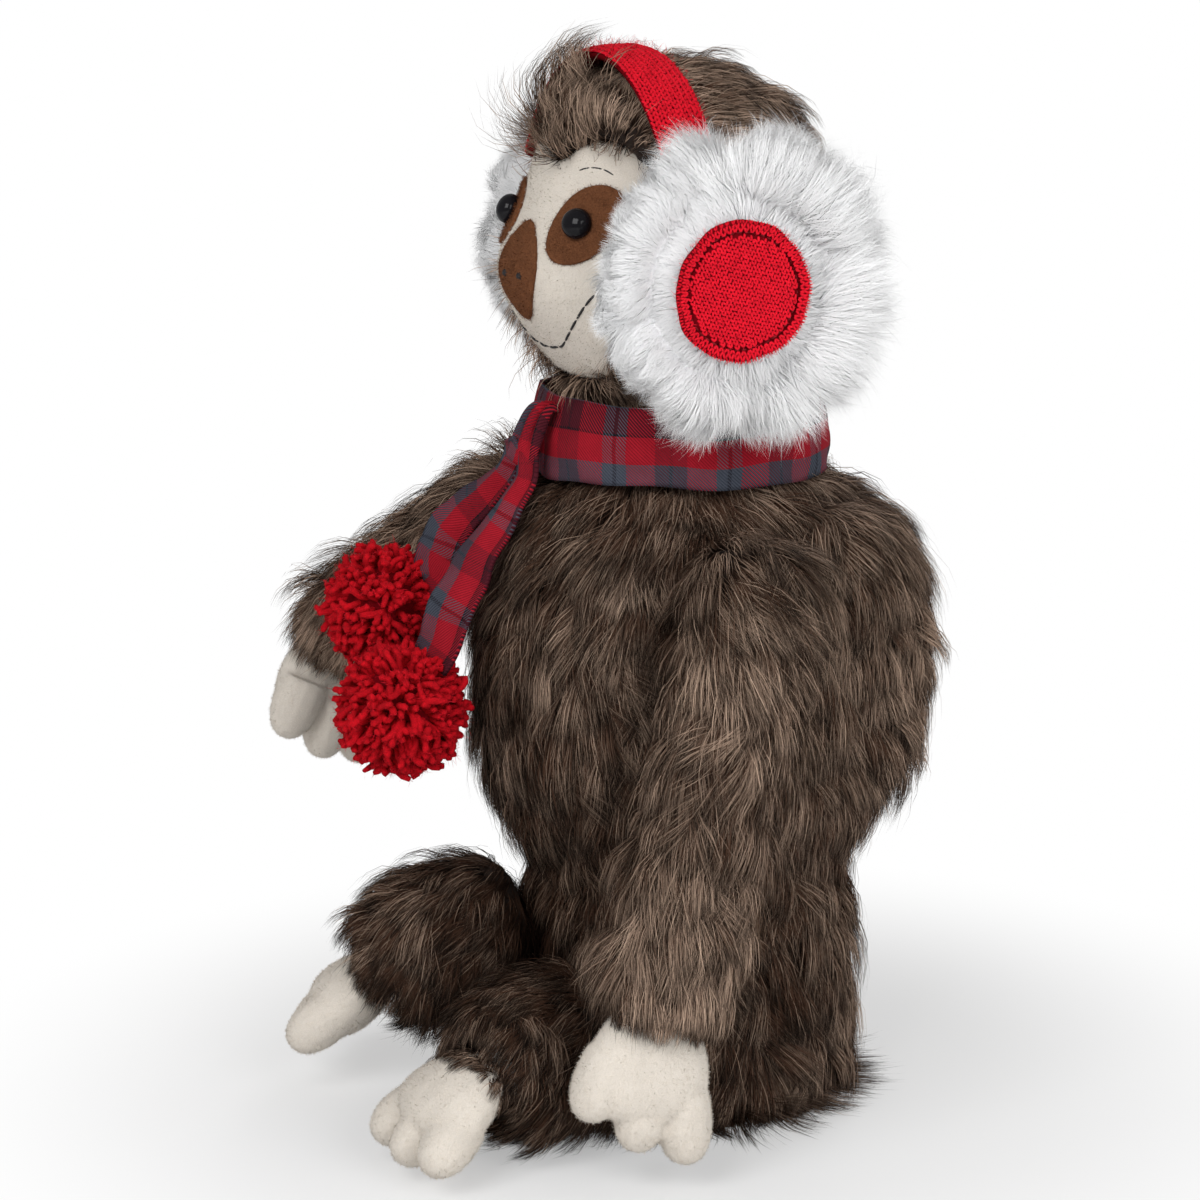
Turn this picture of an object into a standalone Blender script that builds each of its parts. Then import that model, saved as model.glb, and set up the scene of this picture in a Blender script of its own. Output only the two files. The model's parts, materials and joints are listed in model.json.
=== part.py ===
"""Plush sloth sitting on the floor, with earmuffs and a pompom scarf.

Metres, +Z up. The sloth faces -Y and its own left side is +X. The origin is on
the floor under the neck. Furs and velours are skins round a stuffing core.
"""
import math

import bmesh
import bpy
from mathutils import Matrix, Vector
from mathutils.bvhtree import BVHTree

# General sizes
SEAM_GAP = 0.0003
SKIN = 0.0035
OVERRUN = 0.006
FELT = 0.0011
PACKING_GAP = 0.0009

# Torso, from the flat seat up to the neck seam
NECK_HEIGHT = 0.2357
NECK_RADIUS = 0.031
TORSO_HALF_WIDTH = 0.058
TORSO_FRONT = 0.069
TORSO_BACK = 0.091
WAIST_HEIGHT = 0.0875
SEAT_FRONT = 0.046
PELLET_HEIGHT = 0.022

# Head
HEAD_HEIGHT = 0.1165
HEAD_HALF_WIDTH = 0.051
HEAD_FRONT = 0.066
HEAD_BACK = 0.050
FACE_HEIGHT = 0.078
FACE_HALF_WIDTH = 0.040
FACE_MIDDLE_RISE = 0.0523
EYE_SPREAD = 0.0215
EYE_RISE = 0.0658
EYE_RADIUS = 0.0050
EYE_SHANK_RADIUS = 0.0016
EYE_SHANK_LENGTH = 0.0114
EYE_STANDOFF = 0.0012
WASHER_RADIUS = 0.0055
WASHER_THICKNESS = 0.0012
WASHER_SETBACK = 0.0034
PATCH_HALF_WIDTH = 0.0125
PATCH_HALF_HEIGHT = 0.0140
PATCH_LEAN = math.radians(28.0)
NOSE_RISE = 0.0493
NOSE_HALF_WIDTH = 0.0115
NOSE_LENGTH = 0.0300

# Earmuffs and the knitted band over the crown
MUFF_RADIUS = 0.0420
MUFF_THICKNESS = 0.0300
MUFF_WALL = 0.0040
MUFF_RISE = 0.0503
DISC_RADIUS = 0.0220
DISC_THICKNESS = 0.0022
MUFF_LEFT_REACH = 0.0488
MUFF_LEFT_SHIFT = 0.0200
MUFF_LEFT_TURN = math.radians(-12.0)
MUFF_RIGHT_REACH = 0.0512
MUFF_RIGHT_SHIFT = -0.0050
MUFF_RIGHT_TURN = math.radians(-3.0)
BAND_WIDTH = 0.0200
BAND_STANDOFF = 0.0038
BAND_SIDE_STANDOFF = 0.0025
BAND_DEPTH = 0.0140
BAND_LINE = 0.0235
BAND_END_RISE = 0.0320

# Scarf
SCARF_INNER_RADIUS = 0.0436
SCARF_CLOTH = 0.0034
SCARF_DROP = 0.0187
SCARF_WIDTH = 0.0260
KNOT_HALF_WIDTH = 0.0120
KNOT_HALF_HEIGHT = 0.0130
KNOT_HALF_DEPTH = 0.0058
KNOT_OFFSET = 0.0060
KNOT_DROP = 0.0007
TAIL_WIDTH = 0.0270
TAIL_CLOTH = 0.0024
TAIL_SAG = 0.0060
POMPOM_RADIUS = 0.0215
POMPOM_FRONT_SIDE = -0.0150
POMPOM_FRONT_AHEAD = 0.0975
POMPOM_FRONT_DROP = 0.0937
POMPOM_BACK_SIDE = -0.0540
POMPOM_BACK_AHEAD = 0.0830
POMPOM_BACK_DROP = 0.0697

# Arms: the left hangs down, the right is spread to the side
ARM_RADIUS = 0.0215
SHOULDER_BACKSET = 0.0220
SHOULDER_DROP = 0.0427
ARM_LEFT_ELBOW = Vector((0.0870, -0.0370, 0.1250))
ARM_LEFT_WRIST = Vector((0.0850, -0.0580, 0.0610))
ARM_RIGHT_ELBOW = Vector((-0.1120, -0.0410, 0.1640))
ARM_RIGHT_WRIST = Vector((-0.1480, -0.0540, 0.1330))
HAND_LENGTH = 0.0380
HAND_HALF_WIDTH = 0.0230
HAND_HALF_DEPTH = 0.0120
CLAW_LENGTH = 0.0090
CLAW_RADIUS = 0.0096
LEFT_HAND_WAY = Vector((0.0, -0.20, -0.98)).normalized()
LEFT_HAND_ACROSS = Vector((0.25, 0.97, 0.0))
RIGHT_HAND_WAY = Vector((-0.10, -0.15, -0.98)).normalized()
RIGHT_HAND_ACROSS = Vector((-0.15, 0.98, 0.0))

# Legs: seamed to the front of the seat, feet splayed
LEG_RADIUS = 0.0270
LEG_LEFT_ROOT = Vector((0.0330, -0.0463, 0.0310))
LEG_LEFT_KNEE = Vector((0.0330, -0.0740, 0.0350))
LEG_LEFT_ANKLE = Vector((0.0385, -0.0960, 0.0320))
LEG_RIGHT_ROOT = Vector((-0.0330, -0.0463, 0.0545))
LEG_RIGHT_KNEE = Vector((-0.0350, -0.0710, 0.0570))
LEG_RIGHT_ANKLE = Vector((-0.0460, -0.0880, 0.0420))
FOOT_LENGTH = 0.0300
FOOT_HALF_WIDTH = 0.0225
FOOT_HALF_DEPTH = 0.0130
TOE_LENGTH = 0.0095
TOE_RADIUS = 0.0092
FLOOR_GAP = 0.0004
LEFT_FOOT_WAY = Vector((0.03, -0.82, -0.57)).normalized()
LEFT_FOOT_ACROSS = Vector((1.0, 0.0, 0.0))
RIGHT_FOOT_WAY = Vector((-0.50, -0.60, -0.62)).normalized()
RIGHT_FOOT_ACROSS = Vector((0.77, -0.64, 0.0))

# Places that follow the neck seam and the head
BAND_RISE = HEAD_HEIGHT - MUFF_RISE + BAND_STANDOFF
BAND_HALF_SPAN = HEAD_HALF_WIDTH + BAND_SIDE_STANDOFF
FACE_MIDDLE_HEIGHT = NECK_HEIGHT + FACE_MIDDLE_RISE
EYE_HEIGHT = NECK_HEIGHT + EYE_RISE
NOSE_HEIGHT = NECK_HEIGHT + NOSE_RISE
MUFF_HEIGHT = NECK_HEIGHT + MUFF_RISE
SCARF_BOTTOM = NECK_HEIGHT - SCARF_DROP
KNOT_HEIGHT = NECK_HEIGHT - KNOT_DROP
SHOULDER_HEIGHT = NECK_HEIGHT - SHOULDER_DROP
POMPOM_FRONT = Vector((POMPOM_FRONT_SIDE, -POMPOM_FRONT_AHEAD, NECK_HEIGHT - POMPOM_FRONT_DROP))
POMPOM_BACK = Vector((POMPOM_BACK_SIDE, -POMPOM_BACK_AHEAD, NECK_HEIGHT - POMPOM_BACK_DROP))

# Ring tables, bottom to top: height, half width, front and back, all as shares
TORSO_SHARES = (
    (0.000, 0.88, 0.78, 0.53), (0.028, 1.02, 0.88, 0.635), (0.110, 1.07, 0.90, 0.665),
    (0.215, 1.05, 0.89, 0.670), (0.310, 0.96, 0.80, 0.66), (0.365, 0.92, 0.74, 0.65),
    (0.415, 1.00, 0.86, 0.80), (0.490, 1.12, 1.00, 0.96), (0.600, 1.24, 1.02, 1.00),
    (0.710, 1.34, 0.98, 0.97), (0.805, 1.36, 0.90, 0.88), (0.878, 1.14, 0.78, 0.72),
    (0.918, 0.700, 0.590, 0.450))
HEAD_SHARES = (
    (0.050, 0.73, 0.53, 0.76), (0.120, 0.85, 0.63, 0.87), (0.220, 0.95, 0.80, 0.94),
    (0.310, 0.99, 0.90, 0.98), (0.420, 1.00, 1.01, 1.00), (0.545, 0.99, 0.86, 1.00),
    (0.670, 0.94, 0.765, 0.96), (0.780, 0.86, 0.705, 0.87), (0.880, 0.75, 0.660, 0.70),
    (0.960, 0.52, 0.530, 0.42), (1.000, 0.24, 0.300, 0.14))
ARM_SHARES = (
    (-0.115, 0.42), (-0.095, 0.74), (-0.035, 0.98), (0.12, 1.04), (0.36, 1.00), (0.62, 1.05),
    (0.88, 0.98), (1.00, 0.78))
LEG_SHARES = (
    (0.00, 0.93), (0.10, 1.00), (0.35, 1.04), (0.62, 1.05), (0.84, 0.99), (0.95, 0.82), (1.00, 0.60))
TAIL_SHARES = ((0.0, 0.62), (0.12, 0.80), (0.3, 0.92), (0.55, 1.0), (0.8, 1.0), (1.0, 0.9))
TAIL_FRONT_SEAT_SHARES = (0.45, -0.3)
TAIL_BACK_SEAT_SHARES = (-0.9, 0.5)
TAIL_EDGE_SHARE = 0.96
SHOULDER_SINK_SHARE = 2.2
SCARF_SWELL_SHARE = 0.35
SCARF_FOLD_SHARES = (0.75, 0.35)
PAW_SHARES = ((0.00, 0.60), (0.14, 0.74), (0.40, 0.95), (0.66, 1.05), (0.86, 0.96), (0.98, 0.58))
ARM_LEFT_SEAT_SHARE = 0.86
ARM_RIGHT_SEAT_SHARE = 0.70
CLAW_SHARES = ((0.00, 0.92), (0.45, 1.02), (0.84, 0.76), (1.00, 0.26))
PALM_LEAD_SHARE = 0.4
DIGIT_SPREAD_SHARE = 0.86
DIGIT_FAN_SHARE = 0.42
DIGIT_SINK_SHARE = 0.38
DIGIT_DEPTH_SHARE = 0.8
HAND_CLAW_SHARES = ((-0.64, 0.42), (0.00, 0.62), (0.62, 0.70))
FOOT_TOE_SHARES = ((-0.66, 0.60), (0.02, 0.66), (0.66, 0.62))
KNOT_FOLD_SHARES = (
    (-1.00, 0.22, 0.30), (-0.80, 0.60, 0.72), (-0.35, 0.93, 1.00), (0.25, 1.00, 0.95),
    (0.75, 0.88, 0.70), (1.00, 0.55, 0.40))
KNOT_LEAN_SHARE = 0.16
KNOT_CREASE_SHARE = 0.16
FACE_SHARES = (
    (0.00, -0.500), (0.42, -0.475), (0.72, -0.330), (0.93, -0.080), (1.00, 0.130),
    (0.90, 0.330), (0.66, 0.470), (0.36, 0.500), (0.14, 0.440), (0.00, 0.405))
NOSE_SHARES = ((0.00, -0.52), (0.38, -0.44), (0.86, -0.16), (1.00, 0.10), (0.62, 0.37), (0.00, 0.53))
EYE_DOME_SHARE = 0.72
FELT_REACH_SHARE = 0.4
MUFF_OPENING_SHARE = 0.8
MUFF_SHARES = (
    (0.52, 1.00), (0.72, 1.00), (0.90, 0.90), (0.99, 0.66), (0.99, 0.42), (0.90, 0.14),
    (0.74, 0.00), (0.00, 0.00))

# Counts
TORSO_SIDES = 16
LIMB_SIDES = 10
CORE_SIDES = 12
PAW_SIDES = 8
DIGIT_SIDES = 6
TURN_STEPS = 24
BAND_STEPS = 20

FUR_BROWN = (0.150, 0.105, 0.080)
STUFFING_WHITE = (0.860, 0.850, 0.820)
VELOUR_CREAM = (0.800, 0.720, 0.580)
FELT_BROWN = (0.150, 0.060, 0.030)
EYE_BLACK = (0.010, 0.010, 0.012)
WASHER_WHITE = (0.700, 0.700, 0.690)
KNIT_RED = (0.520, 0.015, 0.025)
FLUFF_WHITE = (0.880, 0.890, 0.910)
PLAID_RED = (0.330, 0.030, 0.045)
YARN_RED = (0.480, 0.010, 0.015)
PELLET_GREY = (0.550, 0.550, 0.540)


def clear_scene():
    for obj in list(bpy.data.objects):
        bpy.data.objects.remove(obj, do_unlink=True)


def new_collection(name):
    collection = bpy.data.collections.new(name)
    bpy.context.scene.collection.children.link(collection)
    return collection


def material(name, colour, roughness, metallic=0.0):
    made = bpy.data.materials.new(name)
    made.use_nodes = True
    shader = made.node_tree.nodes["Principled BSDF"]
    shader.inputs["Base Color"].default_value = (*colour, 1.0)
    shader.inputs["Roughness"].default_value = roughness
    shader.inputs["Metallic"].default_value = metallic
    return made


def place(obj, home, colour=None, roughness=0.9):
    """Put an object in its collection, with a material of its own."""
    for old in list(obj.users_collection):
        old.objects.unlink(obj)
    home.objects.link(obj)
    if colour is not None:
        obj.data.materials.clear()
        obj.data.materials.append(material(obj.name + "_finish", colour, roughness))
    return obj


def as_cutter(obj):
    place(obj, CUTTERS)
    obj.hide_render = True
    obj.display_type = 'WIRE'
    return obj


def combine(target, tool, operation='DIFFERENCE'):
    change = target.modifiers.new(operation.title() + "_" + tool.name, 'BOOLEAN')
    change.operation = operation
    change.object = tool
    change.solver = 'EXACT'


def subdivide(obj, levels=1):
    smooth = obj.modifiers.new("Swell", 'SUBSURF')
    smooth.levels = levels
    smooth.render_levels = levels


def cage_growth(sides):
    """How much a cage ring is enlarged so that its smoothed ring has the wanted size."""
    return 1.0 / (2.0 / 3.0 + math.cos(2.0 * math.pi / sides) / 3.0)


def cage(name, loops, crease_start=True, crease_end=True, triangles=False):
    """A closed body from rings of points, with flat ends where the ends are creased.

    A core and the hollow round it are made of triangles, so that both bend alike.
    """
    mesh = bpy.data.meshes.new(name)
    build = bmesh.new()
    crease = build.edges.layers.float.new("crease_edge")
    rings = [[build.verts.new(point) for point in loop] for loop in loops]
    sides = len(rings[0])
    for low, high in zip(rings, rings[1:]):
        for side in range(sides):
            after = (side + 1) % sides
            if triangles:
                build.faces.new((low[side], low[after], high[after]))
                build.faces.new((low[side], high[after], high[side]))
            else:
                build.faces.new((low[side], low[after], high[after], high[side]))
    start = build.faces.new(list(reversed(rings[0])))
    end = build.faces.new(rings[-1])
    for face, creased in ((start, crease_start), (end, crease_end)):
        for edge in face.edges:
            edge[crease] = 1.0 if creased else 0.0
    bmesh.ops.recalc_face_normals(build, faces=build.faces)
    build.to_mesh(mesh)
    build.free()
    mesh.shade_smooth()
    return bpy.data.objects.new(name, mesh)


def level_ring(height, half_width, front, back, sides):
    """A level ring that is an ellipse with its own depth in front and behind."""
    points = []
    for side in range(sides):
        angle = 2.0 * math.pi * side / sides
        depth = front if math.sin(angle) < 0.0 else back
        points.append(Vector((half_width * math.cos(angle), depth * math.sin(angle), height)))
    return points


def pressed(loops, axis, low=None, high=None, below=None):
    """Press the rings flat where they would pass a plane."""
    for loop in loops:
        for point in loop:
            if below is not None and point.z > below:
                continue
            if low is not None:
                point[axis] = max(point[axis], low)
            if high is not None:
                point[axis] = min(point[axis], high)
    return loops


def bend(start, middle, end, share):
    """A point on the curve from start to end that leans towards the middle."""
    one_way = start.lerp(middle, share)
    other_way = middle.lerp(end, share)
    return one_way.lerp(other_way, share)


def limb_rings(start, middle, end, shares, wide, deep, sides, across=Vector((1, 0, 0)), inset=0.0):
    """Rings square to a bent centre line, whose sizes swell and taper by the shares."""
    loops = []
    step = 0.02
    for along, swell in shares:
        here = bend(start, middle, end, along)
        ahead = bend(start, middle, end, along + step) - bend(start, middle, end, along - step)
        ahead.normalize()
        side_way = (across - ahead * across.dot(ahead)).normalized()
        up_way = ahead.cross(side_way)
        loop = []
        for side in range(sides):
            angle = 2.0 * math.pi * side / sides
            reach_side = side_way * math.cos(angle) * max(wide * swell - inset, inset)
            reach_up = up_way * math.sin(angle) * max(deep * swell - inset, inset)
            loop.append(here + reach_side + reach_up)
        loops.append(loop)
    return loops


def grown(loops, factor):
    """The rings enlarged about their own centres."""
    result = []
    for loop in loops:
        centre = sum(loop, Vector()) / len(loop)
        result.append([centre + (point - centre) * factor for point in loop])
    return result


def rod(name, radius, start, end, sides=TURN_STEPS):
    """A round rod between two points."""
    along = end - start
    bpy.ops.mesh.primitive_cylinder_add(vertices=sides, radius=radius, depth=along.length)
    obj = bpy.context.object
    obj.name = name
    obj.rotation_mode = 'QUATERNION'
    obj.rotation_quaternion = along.to_track_quat('Z', 'Y')
    obj.location = (start + end) / 2.0
    return obj


def block(name, low, high):
    """A box between two corners."""
    bpy.ops.mesh.primitive_cube_add(size=1.0)
    obj = bpy.context.object
    obj.name = name
    obj.location = (low + high) / 2.0
    obj.scale = high - low
    bpy.ops.object.transform_apply(location=False, rotation=False, scale=True)
    return obj


def turned(name, profile, steps=TURN_STEPS):
    """A profile of radius and height, turned about Z, from top to bottom."""
    mesh = bpy.data.meshes.new(name)
    points = [(radius, 0.0, height) for radius, height in profile]
    mesh.from_pydata(points, [(i, i + 1) for i in range(len(points) - 1)], [])
    obj = bpy.data.objects.new(name, mesh)
    screw = obj.modifiers.new("Turn", 'SCREW')
    screw.axis = 'Z'
    screw.steps = steps
    screw.render_steps = steps
    screw.use_merge_vertices = True
    screw.merge_threshold = 0.00001
    mesh.shade_smooth()
    return obj


def prism(name, outline, near, far):
    """A flat outline in X and Z, drawn out along Y between two depths."""
    curve = bpy.data.curves.new(name, 'CURVE')
    curve.dimensions = '2D'
    curve.fill_mode = 'BOTH'
    curve.extrude = abs(far - near) / 2.0
    line = curve.splines.new('POLY')
    line.points.add(len(outline) - 1)
    for point, (x, z) in zip(line.points, outline):
        point.co = (x, z, 0.0, 1.0)
    line.use_cyclic_u = True
    drawn = bpy.data.objects.new(name + "_outline", curve)
    CUTTERS.objects.link(drawn)
    drawn.rotation_euler = (math.pi / 2.0, 0.0, 0.0)
    drawn.location = (0.0, (near + far) / 2.0, 0.0)
    bpy.context.view_layer.update()
    scene_state = bpy.context.evaluated_depsgraph_get()
    mesh = bpy.data.meshes.new_from_object(drawn.evaluated_get(scene_state))
    solid = bpy.data.objects.new(name, mesh)
    solid.matrix_world = drawn.matrix_world.copy()
    bpy.data.objects.remove(drawn, do_unlink=True)
    weld = bmesh.new()
    weld.from_mesh(mesh)
    bmesh.ops.remove_doubles(weld, verts=weld.verts, dist=SEAM_GAP / 10.0)
    bmesh.ops.recalc_face_normals(weld, faces=weld.faces)
    weld.to_mesh(mesh)
    weld.free()
    return as_cutter(solid)


def smooth_outline(half_points, half_width, height, middle_x, middle_z, steps=3):
    """A closed outline, the same on both sides, smoothed through its half points."""
    right = [Vector((x * half_width, z * height)) for x, z in half_points]
    left = [Vector((-point.x, point.y)) for point in reversed(right[1:-1])]
    corners = right + left
    count = len(corners)
    outline = []
    for i in range(count):
        before, here, after, later = (corners[(i + k) % count] for k in (-1, 0, 1, 2))
        for step in range(steps):
            t = step / steps
            pull = (after - before) * 0.5
            push = (later - here) * 0.5
            point = (here * (2 * t ** 3 - 3 * t ** 2 + 1) + pull * (t ** 3 - 2 * t ** 2 + t)
                     + after * (3 * t ** 2 - 2 * t ** 3) + push * (t ** 3 - t ** 2))
            outline.append((middle_x + point.x, middle_z + point.y))
    return outline


def torso_loops(sides, inset, grow, top):
    """Rings of the torso from the flat seat to the neck."""
    loops = []
    for height, width, front, back in TORSO_SHARES:
        level = inset + height * (NECK_HEIGHT - inset) - inset * SHOULDER_SINK_SHARE * height ** 4
        loops.append(level_ring(level, width * TORSO_HALF_WIDTH - inset,
                                front * TORSO_FRONT - inset, back * TORSO_BACK - inset, sides))
    neck = NECK_RADIUS - inset
    middle = (TORSO_SHARES[-1][0] + 1.0) / 2.0
    throat = neck + (TORSO_SHARES[-1][1] * TORSO_HALF_WIDTH - NECK_RADIUS) * middle / 4.0
    loops.append(level_ring(middle * NECK_HEIGHT - inset * SHOULDER_SINK_SHARE, throat, throat, throat, sides))
    loops.append(level_ring(top, neck, neck, neck, sides))
    loops = grown(loops, grow)
    loops = pressed(loops, 0, low=inset - TORSO_HALF_WIDTH, high=TORSO_HALF_WIDTH - inset)
    return pressed(loops, 1, low=inset - SEAT_FRONT, below=WAIST_HEIGHT)


def core_cage(name, loops):
    return cage(name, loops, triangles=True)


def make_torso():
    """The furry trunk: an open skin, the stuffing in it and a bag of pellets for weight."""
    skin = cage("torso_skin", torso_loops(TORSO_SIDES, 0.0, cage_growth(TORSO_SIDES), NECK_HEIGHT))
    subdivide(skin)
    place(skin, PARTS, FUR_BROWN)
    hollow = as_cutter(core_cage("torso_hollow", torso_loops(CORE_SIDES, SKIN, 1.0, NECK_HEIGHT + OVERRUN)))
    combine(skin, hollow)
    inner = SKIN + PACKING_GAP
    stuffing = core_cage("torso_stuffing", torso_loops(CORE_SIDES, inner, 1.0, NECK_HEIGHT))
    place(stuffing, PARTS, STUFFING_WHITE)
    reach = Vector((TORSO_BACK, TORSO_BACK + OVERRUN, 0.0))
    floor = Vector((0.0, 0.0, -OVERRUN))
    level = Vector((0.0, 0.0, PELLET_HEIGHT))
    top = Vector((0.0, 0.0, NECK_HEIGHT + OVERRUN))
    combine(stuffing, as_cutter(block("pellet_room", floor - reach, level + reach)))
    pellets = core_cage("pellet_bag", torso_loops(CORE_SIDES, inner, 1.0, NECK_HEIGHT))
    place(pellets, PARTS, PELLET_GREY)
    above = level - Vector((0.0, 0.0, SEAM_GAP))
    combine(pellets, as_cutter(block("stuffing_room", above - reach, top + reach)))


def head_loops(sides, inset, grow, bottom):
    """Rings of the head from the neck seam to the crown."""
    neck = NECK_RADIUS - inset
    loops = [level_ring(bottom, neck, neck, neck, sides)]
    base = NECK_HEIGHT + SEAM_GAP
    for height, width, front, back in HEAD_SHARES:
        level = base + height * HEAD_HEIGHT
        level = min(level, base + HEAD_HEIGHT - inset)
        loops.append(level_ring(level, max(width * HEAD_HALF_WIDTH - inset, inset),
                                max(front * HEAD_FRONT - inset, inset),
                                max(back * HEAD_BACK - inset, inset), sides))
    return grown(loops, grow)


def head_form(name, offset):
    """The closed outer form of the head, enlarged by an offset."""
    base = NECK_HEIGHT + SEAM_GAP
    form = cage(name, head_loops(TORSO_SIDES, -offset, cage_growth(TORSO_SIDES), base), True, False)
    subdivide(form)
    return form


def face_outline(inset):
    return smooth_outline(FACE_SHARES, FACE_HALF_WIDTH - inset, FACE_HEIGHT - inset,
                          0.0, FACE_MIDDLE_HEIGHT)


def nose_outline():
    return smooth_outline(NOSE_SHARES, NOSE_HALF_WIDTH, NOSE_LENGTH, 0.0, NOSE_HEIGHT)


def patch_outline(side):
    """A tilted oval round the eye, lower at its outer end."""
    outline = []
    steps = TURN_STEPS - TURN_STEPS // 4
    lean = PATCH_LEAN * side
    for step in range(steps):
        angle = 2.0 * math.pi * step / steps
        across = PATCH_HALF_WIDTH * math.cos(angle)
        up = PATCH_HALF_HEIGHT * math.sin(angle)
        x = across * math.cos(lean) + up * math.sin(lean)
        z = up * math.cos(lean) - across * math.sin(lean)
        outline.append((side * EYE_SPREAD + x, EYE_HEIGHT + z))
    return outline


def face_seat(x, z):
    """Where the outer form of the head faces forward at x and z, and its outward direction."""
    scene_state = bpy.context.evaluated_depsgraph_get()
    tree = BVHTree.FromObject(HEAD_CLEARANCE, scene_state)
    ahead = Vector((x, -HEAD_FRONT - HEAD_BACK, z))
    spot, outward, _, _ = tree.ray_cast(ahead, Vector((0.0, 1.0, 0.0)))
    return spot, outward


def make_head():
    """The furry hood, the velour face sewn into it and the stuffing inside."""
    base = NECK_HEIGHT + SEAM_GAP
    deep = -HEAD_FRONT - OVERRUN * 2.0
    hood = place(head_form("head_skin", 0.0), PARTS, FUR_BROWN)
    face = place(head_form("face_panel", 0.0), PARTS, VELOUR_CREAM)
    hollow = as_cutter(core_cage("head_hollow", head_loops(CORE_SIDES, SKIN, 1.0, base - OVERRUN)))
    hood_window = prism("face_window", face_outline(0.0), deep, -BAND_DEPTH / 2.0)
    face_window = prism("face_blank", face_outline(SEAM_GAP * 2.0), deep, -BAND_DEPTH / 2.0)
    for shell in (hood, face):
        combine(shell, hollow)
    combine(hood, hood_window)
    combine(face, face_window, 'INTERSECT')
    inner = head_loops(CORE_SIDES, SKIN + PACKING_GAP, 1.0, base)
    stuffing = place(core_cage("head_stuffing", inner), PARTS, STUFFING_WHITE)
    return hood, face, stuffing


def felt_patch(name, outline, pad_back, pad_front):
    """Thin felt that follows the face inside its outline."""
    felt = head_form(name, SEAM_GAP + FELT)
    place(felt, PARTS, FELT_BROWN)
    combine(felt, HEAD_CLEARANCE)
    combine(felt, prism(name + "_blank", outline, pad_back, pad_front), 'INTERSECT')
    return felt


def make_face_trim(face, stuffing):
    """Eye patches, nose, safety eyes and the washers that lock them inside."""
    back = -HEAD_FRONT * FELT_REACH_SHARE
    front = -HEAD_FRONT - OVERRUN * 2.0
    felt_patch("nose_patch", nose_outline(), back, front)
    for side, label in ((1.0, "left"), (-1.0, "right")):
        patch = felt_patch("eye_patch_" + label, patch_outline(side), back, front)
        on_face, out = face_seat(side * EYE_SPREAD, EYE_HEIGHT)
        seat = on_face + out * (FELT + EYE_STANDOFF)
        dome = []
        arc_steps = 7
        for step in range(arc_steps + 1):
            angle = math.pi / 2.0 * (1.0 - step / arc_steps)
            dome.append((EYE_RADIUS * math.cos(angle), EYE_RADIUS * EYE_DOME_SHARE * math.sin(angle)))
        dome += [(EYE_SHANK_RADIUS, 0.0), (EYE_SHANK_RADIUS, -EYE_SHANK_LENGTH),
                 (0.0, -EYE_SHANK_LENGTH)]
        eye = place(turned("eye_" + label, dome, TURN_STEPS // 2), PARTS, EYE_BLACK, 0.08)
        eye.rotation_mode = 'QUATERNION'
        eye.rotation_quaternion = out.to_track_quat('Z', 'Y')
        eye.location = seat
        shank_end = seat - out * (EYE_SHANK_LENGTH + SEAM_GAP * 2.0)
        tunnel = as_cutter(rod("eye_tunnel_" + label, EYE_SHANK_RADIUS + SEAM_GAP,
                               shank_end, seat + out * SEAM_GAP, TURN_STEPS // 2))
        for pierced in (patch, face, stuffing):
            combine(pierced, tunnel)
        lock = on_face - out * (SKIN + WASHER_SETBACK)
        washer = rod("eye_washer_" + label, WASHER_RADIUS, lock - out * WASHER_THICKNESS, lock,
                     TURN_STEPS // 2)
        place(washer, PARTS, WASHER_WHITE, 0.4)
        combine(washer, tunnel)
        pocket = as_cutter(rod("washer_pocket_" + label, WASHER_RADIUS + SEAM_GAP,
                               lock - out * (WASHER_THICKNESS + SEAM_GAP * 2.0),
                               lock + out * OVERRUN, TURN_STEPS // 2))
        combine(stuffing, pocket)


def muff_profile(inset):
    """The section of an earmuff, from its outer face round to its head side."""
    points = []
    for out, along in MUFF_SHARES:
        radius = max(out * MUFF_RADIUS - inset, 0.0) if out > 0.0 else 0.0
        height = along * MUFF_THICKNESS
        height = min(max(height, inset), MUFF_THICKNESS - inset)
        points.append((radius, height))
    return points


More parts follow.
